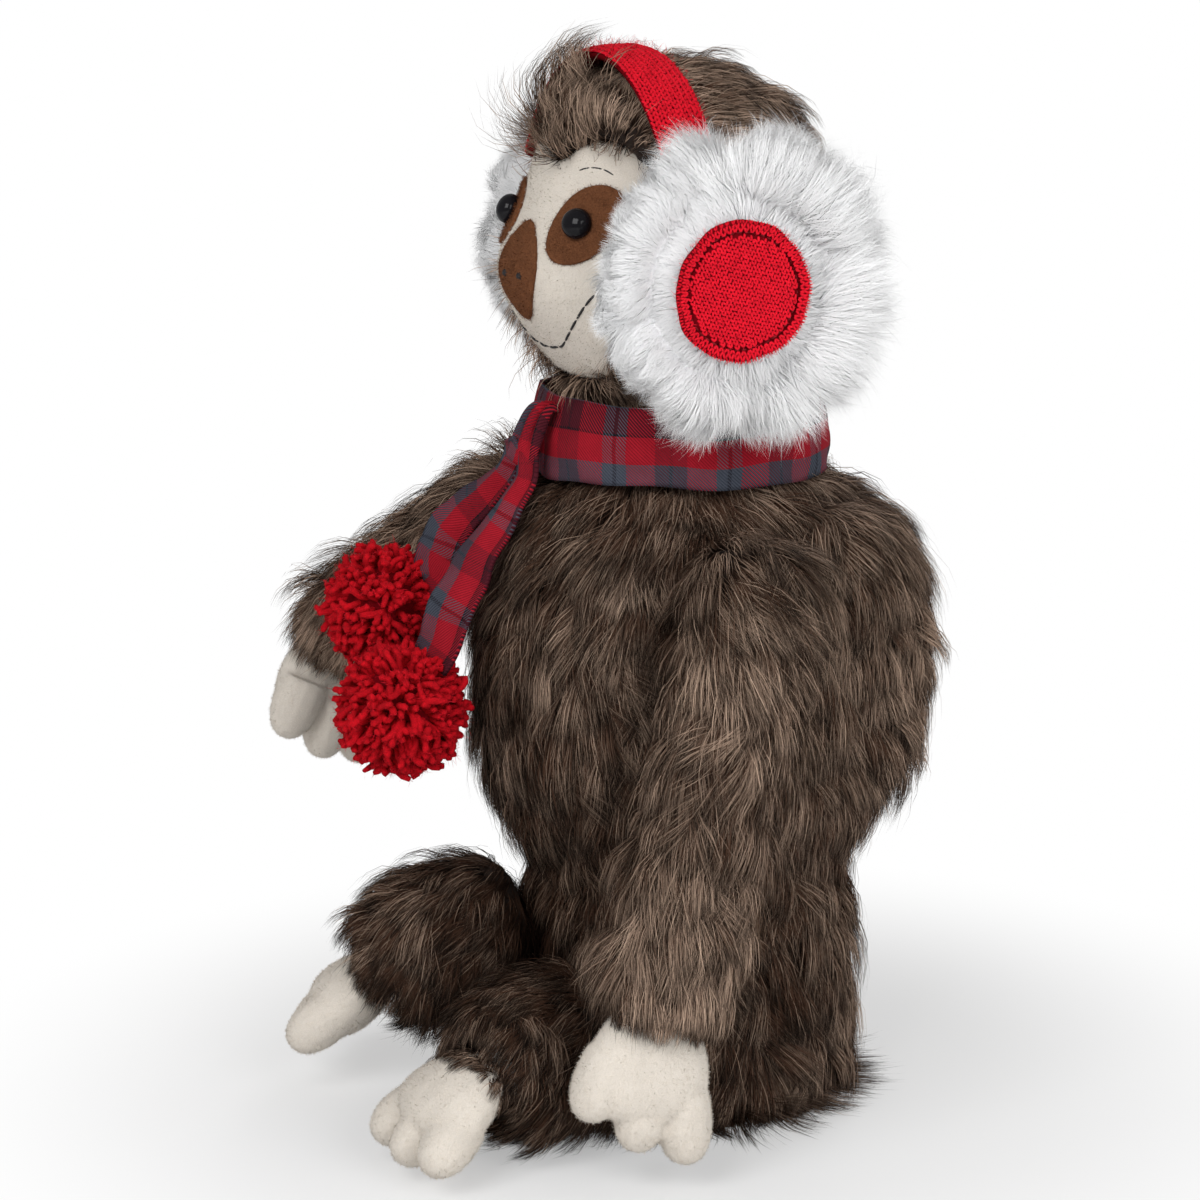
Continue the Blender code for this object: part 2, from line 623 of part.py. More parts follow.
def make_muff(label, side, reach, shift, turn):
    """One earmuff: a fluffy cover, its filling and the knitted disc on its face."""
    out = Matrix.Rotation(turn, 3, 'Z') @ Vector((side, 0.0, 0.0))
    home = Vector((side * reach, -shift, MUFF_HEIGHT))
    turn_to = out.to_track_quat('Z', 'Y')
    cover_line = muff_profile(0.0)
    lining = muff_profile(MUFF_WALL)
    opening = DISC_RADIUS * MUFF_OPENING_SHARE
    filling_line = [(0.0, MUFF_THICKNESS - SEAM_GAP)]
    filling_line += [(opening - PACKING_GAP, MUFF_THICKNESS - SEAM_GAP)]
    filling_line += [(opening - PACKING_GAP, MUFF_THICKNESS - MUFF_WALL - PACKING_GAP)]
    filling_line += muff_profile(MUFF_WALL + PACKING_GAP)[1:]
    cover_line = [(opening, MUFF_THICKNESS)] + cover_line[:-1] + [(0.0, 0.0)]
    lining_line = [(0.0, MUFF_WALL)] + list(reversed(lining[1:-1]))
    lining_line += [(opening, MUFF_THICKNESS - MUFF_WALL), (opening, MUFF_THICKNESS)]
    cover = turned("muff_" + label, cover_line + lining_line)
    filling = turned("muff_filling_" + label, filling_line, TURN_STEPS // 2 + 2)
    rim = DISC_RADIUS - DISC_THICKNESS / 2.0
    low = MUFF_THICKNESS + SEAM_GAP
    disc_line = [(0.0, low + DISC_THICKNESS), (rim, low + DISC_THICKNESS),
                 (DISC_RADIUS, low + DISC_THICKNESS / 2.0), (rim, low), (0.0, low)]
    disc = turned("muff_disc_" + label, disc_line)
    for piece, colour in ((cover, FLUFF_WHITE), (filling, STUFFING_WHITE), (disc, KNIT_RED)):
        place(piece, PARTS, colour)
        piece.rotation_mode = 'QUATERNION'
        piece.rotation_quaternion = turn_to
        piece.location = home


def make_headband():
    """A knitted band that lies on the crown and ends behind both muffs."""
    start = math.asin(BAND_END_RISE / BAND_RISE)
    loops = []
    for step in range(BAND_STEPS + 1):
        angle = start + (math.pi - 2.0 * start) * step / BAND_STEPS
        loop = []
        for depth, across in ((0.0, -0.5), (0.0, 0.5), (BAND_DEPTH, 0.5), (BAND_DEPTH, -0.5)):
            x = (BAND_HALF_SPAN - depth) * math.cos(angle)
            z = MUFF_HEIGHT + (BAND_RISE - depth) * math.sin(angle)
            loop.append(Vector((x, across * BAND_WIDTH - BAND_LINE, z)))
        loops.append(loop)
    band = place(cage("headband", loops), PARTS, KNIT_RED)
    combine(band, HEAD_CLEARANCE)


def make_scarf():
    """The band of cloth round the neck, its knot, two tails and their pompoms."""
    inner = SCARF_INNER_RADIUS
    outer = inner + SCARF_CLOTH
    top = SCARF_BOTTOM + SCARF_WIDTH
    swell = SCARF_CLOTH * SCARF_SWELL_SHARE
    high, low = SCARF_FOLD_SHARES
    wrap_line = [(outer - swell, top), (outer, SCARF_BOTTOM + SCARF_WIDTH * high),
                 (outer + swell, SCARF_BOTTOM + SCARF_WIDTH * low), (outer, SCARF_BOTTOM),
                 (inner, SCARF_BOTTOM), (inner, top - swell), (outer - swell, top)]
    place(turned("scarf_wrap", wrap_line, TURN_STEPS + TURN_STEPS // 2), PARTS, PLAID_RED)
    knot_middle = Vector((-KNOT_OFFSET, -outer - SEAM_GAP - KNOT_HALF_DEPTH, KNOT_HEIGHT))
    knot = cage("scarf_knot", knot_loops(knot_middle), False, False)
    subdivide(knot)
    place(knot, PARTS, PLAID_RED)
    for label, ball_middle, (spread, tuck) in (("front", POMPOM_FRONT, TAIL_FRONT_SEAT_SHARES),
                                               ("back", POMPOM_BACK, TAIL_BACK_SEAT_SHARES)):
        start = knot_middle + Vector((spread * KNOT_HALF_WIDTH, tuck * KNOT_HALF_DEPTH,
                                      -KNOT_HALF_HEIGHT))
        start.z -= SEAM_GAP * 3.0
        end = ball_middle + (start - ball_middle).normalized() * (POMPOM_RADIUS + SEAM_GAP)
        middle = (start + end) / 2.0 + Vector((0.0, -TAIL_SAG, 0.0))
        loops = limb_rings(start, middle, end, TAIL_SHARES, TAIL_WIDTH / 2.0, TAIL_CLOTH / 2.0, 8)
        loops = [squared(loop) for loop in loops]
        place(cage("scarf_tail_" + label, loops), PARTS, PLAID_RED)
    for label, centre in (("front", POMPOM_FRONT), ("back", POMPOM_BACK)):
        bpy.ops.mesh.primitive_ico_sphere_add(subdivisions=3, radius=POMPOM_RADIUS)
        ball = bpy.context.object
        ball.name = "pompom_" + label
        ball.location = centre
        place(ball, PARTS, YARN_RED)


def knot_loops(middle):
    """Rings of the gathered crossing: it leans a little and is creased from top to bottom."""
    loops = []
    for height, wide, deep in KNOT_FOLD_SHARES:
        loop = []
        for side in range(CORE_SIDES):
            angle = 2.0 * math.pi * side / CORE_SIDES
            crease = 1.0 - KNOT_CREASE_SHARE * (0.5 - 0.5 * math.cos(4.0 * angle))
            lean = KNOT_LEAN_SHARE * height * abs(height)
            loop.append(middle + Vector((KNOT_HALF_WIDTH * (wide * math.cos(angle) + lean),
                                         KNOT_HALF_DEPTH * deep * crease * math.sin(angle),
                                         KNOT_HALF_HEIGHT * height)))
        loops.append(loop)
    return loops


def squared(loop):
    """A ring of eight points moved out to a flat strip with blunt edges."""
    centre = sum(loop, Vector()) / len(loop)
    wide = loop[0] - centre
    deep = loop[2] - centre
    strip = []
    edge = TAIL_EDGE_SHARE
    for across, up in ((1.0, 0.0), (edge, 1.0), (0.0, 1.0), (-edge, 1.0),
                       (-1.0, 0.0), (-edge, -1.0), (0.0, -1.0), (edge, -1.0)):
        strip.append(centre + wide * across + deep * up)
    return strip


def paw(name, cuff, sleeve_way, ahead, across, sizes, digits, claws):
    """A velour paw: a rounded palm that leaves its sleeve squarely, with fanned digits."""
    length, wide, deep = sizes
    digit_length, digit_radius = digits
    swell = cage_growth(DIGIT_SIDES)
    wrist = cuff + sleeve_way * SEAM_GAP
    end = wrist + ahead * length
    middle = wrist + sleeve_way * length * PALM_LEAD_SHARE
    palm = cage(name, limb_rings(wrist, middle, end, PAW_SHARES, wide, deep, PAW_SIDES, across),
                True, False)
    subdivide(palm)
    place(palm, PARTS, VELOUR_CREAM)
    for number, (spread, lead) in enumerate(claws):
        root = wrist + ahead * length * lead + across * wide * spread * DIGIT_SPREAD_SHARE
        way = (ahead + across * spread * DIGIT_FAN_SHARE).normalized()
        tip = root + way * (digit_length + length * DIGIT_SINK_SHARE)
        rings = limb_rings(root, (root + tip) / 2.0, tip, CLAW_SHARES, digit_radius * swell,
                           min(digit_radius, deep * DIGIT_DEPTH_SHARE) * swell, DIGIT_SIDES, across)
        digit = as_cutter(cage(name + "_digit_" + str(number + 1), rings, True, False))
        subdivide(digit)
        combine(palm, digit, 'UNION')
    return palm


def make_arm(label, side, seat_share, elbow, wrist, hand_way, hand_across):
    """A furry arm skin round its stuffing, flat where it is sewn to the torso."""
    flat = TORSO_HALF_WIDTH + SEAM_GAP
    shoulder = Vector((side * (flat + ARM_RADIUS * seat_share), -SHOULDER_BACKSET, SHOULDER_HEIGHT))
    grow = cage_growth(LIMB_SIDES)
    outer = limb_rings(shoulder, elbow, wrist, ARM_SHARES, ARM_RADIUS * grow, ARM_RADIUS * grow, LIMB_SIDES)
    limit = {"low": flat} if side > 0 else {"high": -flat}
    outer = pressed(outer, 0, **limit)
    skin = cage("arm_skin_" + label, outer, False, True)
    subdivide(skin)
    place(skin, PARTS, FUR_BROWN)
    wall = SKIN + PACKING_GAP
    length = (wrist - shoulder).length
    core_shares = list(ARM_SHARES[1:-1])
    past = [(1.0 + OVERRUN / length, ARM_SHARES[-1][1])]
    reach = {"low": flat + SKIN} if side > 0 else {"high": -flat - SKIN}
    hollow = limb_rings(shoulder, elbow, wrist, core_shares + past, ARM_RADIUS, ARM_RADIUS,
                        PAW_SIDES, inset=SKIN)
    combine(skin, as_cutter(core_cage("arm_hollow_" + label, pressed(hollow, 0, **reach))))
    reach = {"low": flat + wall} if side > 0 else {"high": -flat - wall}
    first = [(core_shares[0][0] + PACKING_GAP / length, core_shares[0][1])]
    core = limb_rings(shoulder, elbow, wrist, first + core_shares[1:] + [ARM_SHARES[-1]],
                      ARM_RADIUS, ARM_RADIUS, PAW_SIDES, inset=wall)
    place(core_cage("arm_stuffing_" + label, pressed(core, 0, **reach)), PARTS, STUFFING_WHITE)
    paw("hand_" + label, wrist, (wrist - elbow).normalized(), hand_way, hand_across,
        (HAND_LENGTH, HAND_HALF_WIDTH, HAND_HALF_DEPTH), (CLAW_LENGTH, CLAW_RADIUS), HAND_CLAW_SHARES)


def make_leg(label, root, knee, ankle, foot_way, foot_across):
    """A furry leg skin round its stuffing, with a flat root against the seat."""
    grow = cage_growth(LIMB_SIDES)
    radius = LEG_RADIUS * grow
    outer = limb_rings(root, knee, ankle, LEG_SHARES, radius, radius, LIMB_SIDES)
    front = -SEAT_FRONT - SEAM_GAP
    for point in outer[0]:
        point.y = front
    outer = pressed(pressed(outer, 2, low=FLOOR_GAP), 1, high=front)
    skin = cage("leg_skin_" + label, outer)
    subdivide(skin)
    place(skin, PARTS, FUR_BROWN)
    length = (ankle - root).length
    past = [(1.0 + OVERRUN / length, LEG_SHARES[-1][1])]
    core_shares = [LEG_SHARES[0]] + list(LEG_SHARES[2:])
    hollow = limb_rings(root, knee, ankle, core_shares[:-1] + past, LEG_RADIUS, LEG_RADIUS,
                        PAW_SIDES, inset=SKIN)
    hollow = pressed(pressed(hollow, 2, low=FLOOR_GAP + SKIN), 1, high=front - SKIN)
    combine(skin, as_cutter(core_cage("leg_hollow_" + label, hollow)))
    wall = SKIN + PACKING_GAP
    core = limb_rings(root, knee, ankle, core_shares, LEG_RADIUS, LEG_RADIUS, PAW_SIDES, inset=wall)
    core = pressed(pressed(core, 2, low=FLOOR_GAP + wall), 1, high=front - wall)
    place(core_cage("leg_stuffing_" + label, core), PARTS, STUFFING_WHITE)
    foot = paw("foot_" + label, ankle, (ankle - knee).normalized(), foot_way, foot_across,
               (FOOT_LENGTH, FOOT_HALF_WIDTH, FOOT_HALF_DEPTH), (TOE_LENGTH, TOE_RADIUS), FOOT_TOE_SHARES)
    reach = Vector((TORSO_BACK, TORSO_BACK, TORSO_BACK))
    under = Vector((ankle.x, ankle.y, FLOOR_GAP - TORSO_BACK))
    combine(foot, as_cutter(block("floor_" + label, under - reach, under + reach)))


def square_to(direction, hint):
    """A unit vector square to a direction and close to the hint."""
    return (hint - direction * hint.dot(direction)).normalized()


clear_scene()
PARTS = new_collection("plush_sloth")
CUTTERS = new_collection("cutters")
HEAD_CLEARANCE = as_cutter(head_form("head_clearance", SEAM_GAP))

make_torso()
hood_skin, face_skin, head_core = make_head()
make_face_trim(face_skin, head_core)
make_muff("left", 1.0, MUFF_LEFT_REACH, MUFF_LEFT_SHIFT, MUFF_LEFT_TURN)
make_muff("right", -1.0, MUFF_RIGHT_REACH, MUFF_RIGHT_SHIFT, MUFF_RIGHT_TURN)
make_headband()
make_scarf()

make_arm("left", 1.0, ARM_LEFT_SEAT_SHARE, ARM_LEFT_ELBOW, ARM_LEFT_WRIST, LEFT_HAND_WAY,
         square_to(LEFT_HAND_WAY, LEFT_HAND_ACROSS))
make_arm("right", -1.0, ARM_RIGHT_SEAT_SHARE, ARM_RIGHT_ELBOW, ARM_RIGHT_WRIST, RIGHT_HAND_WAY,
         square_to(RIGHT_HAND_WAY, RIGHT_HAND_ACROSS))
make_leg("left", LEG_LEFT_ROOT, LEG_LEFT_KNEE, LEG_LEFT_ANKLE, LEFT_FOOT_WAY,
         square_to(LEFT_FOOT_WAY, LEFT_FOOT_ACROSS))
make_leg("right", LEG_RIGHT_ROOT, LEG_RIGHT_KNEE, LEG_RIGHT_ANKLE, RIGHT_FOOT_WAY,
         square_to(RIGHT_FOOT_WAY, RIGHT_FOOT_ACROSS))
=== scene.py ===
"""Dresses the seated plush sloth: fur, velour, knit, plaid and yarn round its fixed frame."""
import json
import math

import bmesh
import bpy
import numpy as np
from bpy.props import FloatProperty, FloatVectorProperty, IntProperty, PointerProperty
from mathutils import Matrix, Vector
from mathutils.bvhtree import BVHTree
from mathutils.kdtree import KDTree


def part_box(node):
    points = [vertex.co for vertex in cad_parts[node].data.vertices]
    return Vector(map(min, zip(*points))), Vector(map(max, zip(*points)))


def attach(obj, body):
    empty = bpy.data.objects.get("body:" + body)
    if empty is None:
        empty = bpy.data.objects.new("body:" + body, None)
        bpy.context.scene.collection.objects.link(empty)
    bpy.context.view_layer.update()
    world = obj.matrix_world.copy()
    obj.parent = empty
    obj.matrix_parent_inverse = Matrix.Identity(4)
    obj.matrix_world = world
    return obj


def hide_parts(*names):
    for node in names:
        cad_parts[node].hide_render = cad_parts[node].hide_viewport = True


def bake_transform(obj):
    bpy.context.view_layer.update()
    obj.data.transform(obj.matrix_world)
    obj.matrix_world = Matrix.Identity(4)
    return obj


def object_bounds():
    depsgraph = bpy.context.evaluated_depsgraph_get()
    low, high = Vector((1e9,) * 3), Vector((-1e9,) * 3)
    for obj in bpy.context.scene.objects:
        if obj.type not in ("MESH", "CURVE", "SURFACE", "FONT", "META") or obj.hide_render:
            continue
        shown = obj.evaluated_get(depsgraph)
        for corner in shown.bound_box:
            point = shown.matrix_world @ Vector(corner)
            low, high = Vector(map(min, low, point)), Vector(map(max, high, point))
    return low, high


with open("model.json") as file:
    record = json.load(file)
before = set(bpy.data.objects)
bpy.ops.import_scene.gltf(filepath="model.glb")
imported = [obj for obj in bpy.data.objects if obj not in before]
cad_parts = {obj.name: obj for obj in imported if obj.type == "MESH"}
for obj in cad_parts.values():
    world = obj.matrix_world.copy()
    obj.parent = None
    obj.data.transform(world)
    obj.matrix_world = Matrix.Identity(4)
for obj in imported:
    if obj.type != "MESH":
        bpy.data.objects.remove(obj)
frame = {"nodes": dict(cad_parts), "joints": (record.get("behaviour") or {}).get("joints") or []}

bl_info = {
    "name": "Plush sloth",
    "version": (1, 0, 0),
    "blender": (4, 5, 0),
    "location": "3D View > Sidebar > Plush sloth",
    "description": "Builds the furs, cloths and yarns of a seated plush sloth",
    "category": "Object",
}

CAD_BOX = [list(corner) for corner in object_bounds()]
SEED = 41
MM = 0.001
UV_NAME = "OFBake"
DOWN = np.array((0.0, 0.0, -1.0))
JOINTS = {joint["name"]: joint for joint in frame["joints"]}
SIDES = {"left": 1.0, "right": -1.0}


def length(name, text, default):
    return FloatProperty(name=name, description=text, default=default, unit='LENGTH', precision=4)


def colour(name, text, default):
    return FloatVectorProperty(name=name, description=text, default=default, subtype='COLOR',
                               size=3, min=0.0, max=1.0)


class SlothFur(bpy.types.PropertyGroup):
    body_length: length("Body hair", "Length of a hair on the trunk and limbs", 0.027)
    head_length: length("Head hair", "Length of a hair on the head", 0.019)
    muff_length: length("Muff hair", "Length of a hair on the earmuffs", 0.0190)
    hair_width: length("Hair width", "Width of a hair at its root", 0.00021)
    inset: length("Inset", "How far the backing cloth lies under the outer fur surface", 0.0055)
    lock_size: length("Lock size", "Distance between the locks that hairs gather in", 0.0060)
    per_area: IntProperty(name="Hairs per square centimetre", default=250,
                          description="How many hairs grow on a square centimetre")
    # The root colour is dark underfur, made darker still as painted shade of the fur's depth
    root: colour("Root", "Underfur at the roots", (0.022, 0.012, 0.008))
    pale: colour("Pale length", "Frosted middle of a hair", (0.540, 0.385, 0.285))
    brown: colour("Brown length", "Middle of a dark hair", (0.068, 0.034, 0.021))
    tip: colour("Tip", "Dark end of a hair", (0.011, 0.007, 0.005))
    white: colour("White fluff", "Hair of the earmuffs", (0.970, 0.970, 0.972))
    white_root: colour("White fluff root", "Shaded root of the earmuff hair", (0.915, 0.918, 0.932))


class SlothCloth(bpy.types.PropertyGroup):
    cream: colour("Cream velour", "Face, hands and feet", (0.778, 0.716, 0.636))
    felt: colour("Brown felt", "Nose and eye patches", (0.200, 0.078, 0.035))
    eye: colour("Eye", "Glossy eye plastic", (0.006, 0.006, 0.008))
    thread: colour("Thread", "Stitched brows, mouth and nostril", (0.012, 0.011, 0.012))
    knit: colour("Knit", "Headband and ear discs", (0.820, 0.010, 0.028))
    yarn: colour("Yarn", "Pompoms", (0.600, 0.005, 0.013))
    plaid_red: colour("Plaid red", "Brightest stripe of the scarf", (0.390, 0.010, 0.022))
    plaid_wine: colour("Plaid wine", "Dark red stripe of the scarf", (0.085, 0.010, 0.018))
    plaid_slate: colour("Plaid slate", "Grey stripe of the scarf", (0.070, 0.080, 0.105))
    plaid_black: colour("Plaid black", "Thin dark line of the scarf", (0.012, 0.010, 0.014))
    filling: colour("Filling", "Polyester stuffing", (0.860, 0.850, 0.820))


def fur():
    return bpy.context.scene.sloth_fur


def cloth():
    return bpy.context.scene.sloth_cloth


# Shader helpers

def made_once(collection):
    """Give back the material or node group of a name, and build it only the first time."""
    def wrap(build):
        def get(name, *given, **named):
            return getattr(bpy.data, collection).get(name) or build(name, *given, **named)
        return get
    return wrap


def new_material(name, roughness, **sockets):
    """A material with its Principled shader; plain sockets are set on the shader itself."""
    made = bpy.data.materials.new(name)
    made.use_nodes = True
    shader = made.node_tree.nodes["Principled BSDF"]
    shader.inputs["Roughness"].default_value = roughness
    for socket, value in sockets.items():
        shader.inputs[socket.replace("_", " ")].default_value = value
    return made, made.node_tree, shader


def node(tree, kind, inputs=None, **settings):
    made = tree.nodes.new(kind)
    for key, value in settings.items():
        setattr(made, key, value)
    for key, value in (inputs or {}).items():
        feed(tree, made.inputs[key], value)
    return made


def feed(tree, socket, value):
    """Link an output into a socket, or set the socket to a plain value."""
    if isinstance(value, bpy.types.NodeSocket):
        tree.links.new(value, socket)
    elif hasattr(value, "__len__") and len(value) == 3 and socket.type == 'RGBA':
        socket.default_value = (*value, 1.0)
    else:
        socket.default_value = value


def maths(tree, operation, *values):
    """The result of one Math node."""
    return node(tree, "ShaderNodeMath", dict(enumerate(values)), operation=operation).outputs[0]


def eased(tree, value, low, high):
    """Nought below low, one above high and a smooth step between them."""
    made = node(tree, "ShaderNodeMapRange", {"Value": value, "From Min": low, "From Max": high},
                interpolation_type='SMOOTHSTEP')
    return made.outputs["Result"]


def blended(tree, factor, first, second, **settings):
    made = node(tree, "ShaderNodeMix", {0: factor, 6: first, 7: second}, data_type='RGBA',
                **settings)
    return made.outputs[2]


def group(name, inputs, outputs):
    """A new node group with named sockets; colours are given as three numbers."""
    tree = bpy.data.node_groups.new(name, "ShaderNodeTree")
    for label, default in inputs.items():
        many = hasattr(default, "__len__")
        kind = "NodeSocketColor" if many else "NodeSocketFloat"
        socket = tree.interface.new_socket(label, in_out='INPUT', socket_type=kind)
        socket.default_value = (*default, 1.0) if many else default
    for label, kind in outputs.items():
        tree.interface.new_socket(label, in_out='OUTPUT', socket_type="NodeSocket" + kind)
    return tree, tree.nodes.new("NodeGroupInput").outputs, tree.nodes.new("NodeGroupOutput").inputs


def use_group(tree, made, **inputs):
    placed = node(tree, "ShaderNodeGroup", node_tree=made)
    for label, value in inputs.items():
        feed(tree, placed.inputs[label.replace("_", " ")], value)
    return placed.outputs


def times(base, share):
    """A colour made darker or paler."""
    return [min(1.0, share * value) for value in base]


# Share of the tint range left for hairs painted dark as the shade in a crease
CREASE_SHADE_SHARE = 0.16


@made_once("node_groups")
def strand_tint_group(name):
    """Colour of a hair from its place along the hair and from its own tint."""
    tree, given, put = group(name, {
        "Along": 0.5, "Tint": 0.5, "Root": (0, 0, 0), "Dark middle": (0, 0, 0),
        "Pale middle": (1, 1, 1), "Dark tip": (0, 0, 0), "Pale tip": (1, 1, 1)}, {"Color": "Color"})
    # Near its root a hair takes the root colour: dark underfur and painted shade of the fur's depth
    rise = eased(tree, given["Along"], 0.05, 0.48)

    def strand(middle, tip, low, high):
        grown = blended(tree, rise, given["Root"], given[middle])
        return blended(tree, eased(tree, given["Along"], low, high), grown, given[tip])

    dark = strand("Dark middle", "Dark tip", 0.45, 0.80)
    pale = strand("Pale middle", "Pale tip", 0.66, 0.96)
    frosted = node(tree, "ShaderNodeMapRange", {"Value": given["Tint"], "From Min": CREASE_SHADE_SHARE})
    shade = blended(tree, frosted.outputs["Result"], dark, pale)
    # Hairs of the lowest tints take the root colour: painted shade in a crease
    painted_crease = eased(tree, given["Tint"], 0.0, CREASE_SHADE_SHARE)
    feed(tree, put["Color"], blended(tree, painted_crease, given["Root"], shade))
    return tree


@made_once("node_groups")
def grain_group(name):
    """Fine speckle and soft blotches of a short-pile or fibrous cloth."""
    tree, given, put = group(name, {"Fine": 1500.0, "Broad": 60.0, "Contrast": 0.2,
                                    "Base": (0.5, 0.5, 0.5), "Deep": (0.2, 0.2, 0.2)},
                             {"Color": "Color", "Height": "Float"})
    spot = node(tree, "ShaderNodeTexCoord").outputs["Object"]
    fine = node(tree, "ShaderNodeTexNoise", {"Vector": spot, "Scale": given["Fine"], "Detail": 3.0,
                                             "Roughness": 0.65}).outputs["Fac"]
    broad = node(tree, "ShaderNodeTexNoise", {"Vector": spot, "Scale": given["Broad"],
                                              "Detail": 2.0}).outputs["Fac"]
    mixed = maths(tree, 'ADD', maths(tree, 'MULTIPLY', fine, 0.6),
                  maths(tree, 'MULTIPLY', broad, 0.4))
    worn = maths(tree, 'MULTIPLY', eased(tree, mixed, 0.66, 0.34), given["Contrast"])
    feed(tree, put["Color"], blended(tree, worn, given["Base"], given["Deep"]))
    feed(tree, put["Height"], fine)
    return tree


def cloth_map(tree):
    """The two numbers of a piece's own map: tint and place of a hair, or place in a weave."""
    spot = node(tree, "ShaderNodeUVMap", uv_map=UV_NAME).outputs["UV"]
    return node(tree, "ShaderNodeSeparateXYZ", {0: spot}).outputs


def rise_from(tree, shader, height, strength, distance):
    """Raise the surface by a height, as far as light can tell."""
    raised = node(tree, "ShaderNodeBump", {"Strength": strength, "Distance": distance,
                                           "Height": height})
    feed(tree, shader.inputs["Normal"], raised.outputs["Normal"])


@made_once("materials")
def hair_material(name, root, dark, pale, dark_tip, pale_tip, roughness=0.62, sheen=0.0):
    made, tree, shader = new_material(name, roughness, Sheen_Weight=sheen, Sheen_Roughness=0.5,
                                      Specular_IOR_Level=0.04)
    parts = cloth_map(tree)
    tint = use_group(tree, strand_tint_group("Strand tint"), Along=parts["Y"], Tint=parts["X"],
                     Root=root, Dark_middle=dark, Pale_middle=pale, Dark_tip=dark_tip,
                     Pale_tip=pale_tip)
    feed(tree, shader.inputs["Base Color"], tint["Color"])
    return made


# Finish of each fibrous cloth: its deep colour or how dark that is beside the base, the scales
# of its fine and broad speckle, their contrast, the bump, and the shader's own sockets
GRAINS = {
    "fur_backing": dict(deep=0.4, roughness=0.95, fine=900.0, broad=70.0, contrast=0.8, bump=0.5),
    "velour_cloth": dict(deep=0.80, roughness=0.95, fine=2300.0, broad=90.0, contrast=0.55,
                         bump=0.55, Sheen_Weight=0.08, Specular_IOR_Level=0.2),
    "felt_cloth": dict(deep=0.45, roughness=0.95, fine=1900.0, broad=260.0, contrast=0.9,
                       bump=0.9, Specular_IOR_Level=0.10),
    "black_thread": dict(deep=(0.003, 0.003, 0.003), roughness=0.6, fine=3000.0, broad=500.0,
                         contrast=0.5, bump=0.4),
    "knit_yarn": dict(deep=0.5, roughness=0.9, fine=2600.0, broad=240.0, contrast=0.45, bump=0.6,
                      Specular_IOR_Level=0.10),
    "knit_ground": dict(deep=0.5, roughness=0.95, fine=2600.0, broad=240.0, contrast=0.6,
                        bump=0.5, Specular_IOR_Level=0.05),
    "disc_thread": dict(deep=0.4, roughness=0.8, fine=2600.0, broad=400.0, contrast=0.5, bump=0.4),
    "pompom_yarn": dict(deep=0.42, roughness=0.92, fine=2200.0, broad=260.0, contrast=0.8,
                        bump=0.7, Specular_IOR_Level=0.10),
    "fluff_backing": dict(deep=0.6, roughness=0.95, fine=900.0, broad=80.0, contrast=0.6,
                          bump=0.4),
    "filling_fibre": dict(deep=(0.6, 0.59, 0.56), roughness=0.95, fine=700.0, broad=120.0,
                          contrast=0.6, bump=0.6),
    "pellet_bag_cloth": dict(deep=(0.25, 0.25, 0.24), roughness=0.9, fine=1200.0, broad=200.0,
                             contrast=0.5, bump=0.5),
    "washer_moulding": dict(deep=(0.6, 0.6, 0.59), roughness=0.4, fine=2500.0, broad=300.0,
                            contrast=0.3, bump=0.1),
}
GRAIN_HEIGHT = 0.4 * MM


@made_once("materials")
def grained(name, base):
    """A fibrous cloth: speckled colour and a fine raised grain."""
    finish = dict(GRAINS[name])
    deep, bump = finish.pop("deep"), finish.pop("bump")
    speckle = {label: finish.pop(label.lower()) for label in ("Fine", "Broad", "Contrast")}
    made, tree, shader = new_material(name, **finish)
    grain = use_group(tree, grain_group("Cloth grain"), Base=base,
                      Deep=deep if hasattr(deep, "__len__") else times(base, deep), **speckle)
    feed(tree, shader.inputs["Base Color"], grain["Color"])
    rise_from(tree, shader, grain["Height"], bump, GRAIN_HEIGHT)
    return made


def brown_hair():
    settings = fur()
    return hair_material("brown_hair", settings.root, settings.brown, settings.pale, settings.tip,
                         times(settings.brown, 0.40))


def white_hair():
    settings = fur()
    shade = [0.5 * (a + b) for a, b in zip(settings.white, settings.white_root)]
    return hair_material("white_hair", settings.white_root, shade, settings.white, shade,
                         settings.white, roughness=0.7, sheen=0.1)


def pile_hair(name, base):
    """Short standing fibres of a velour or felt, a little shaded at the root."""
    pale = times(base, 1.12)
    return hair_material(name, times(base, 0.90), base, pale, base, pale, roughness=0.85)


def red_fibre():
    base = cloth().knit
    pale = [min(1.0, 1.1 * value + 0.02) for value in base]
    # The fibres' roots are darker: painted shade at the root
    return hair_material("red_fibre", times(base, 0.6), base, pale, base, pale, roughness=0.8)


def backing_cloth():
    # The backing takes the root colour: dark underfur and painted shade under the fur
    return grained("fur_backing", fur().root)


def velour():
    return grained("velour_cloth", cloth().cream)


def knit_yarn():
    return grained("knit_yarn", cloth().knit)


def shaded_knit():
    """The ground between the raised stitches, painted dark as their shade."""
    return grained("knit_ground", times(cloth().knit, 0.22))


# Mesh helpers

def read(collection, kind, size, dtype=float):
    """One property of all corners or triangles of a mesh, a row for each."""
    values = np.empty(len(collection) * size, dtype)
    collection.foreach_get(kind, values)
    return values.reshape(-1, size)


def cad_arrays(name):
    """Corner positions and triangles of a CAD solid."""
    data = frame["nodes"][name].data
    data.calc_loop_triangles()
    return read(data.vertices, "co", 3), read(data.loop_triangles, "vertices", 3, np.int32)


def box_of(name):
    """The lowest and the highest corner of a CAD solid's box."""
    low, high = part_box(name)
    return np.array(low), np.array(high)


def middle_of(name):
    return sum(box_of(name)) / 2.0


def joint_place(name):
    return np.array(JOINTS[name]["pos_m"])


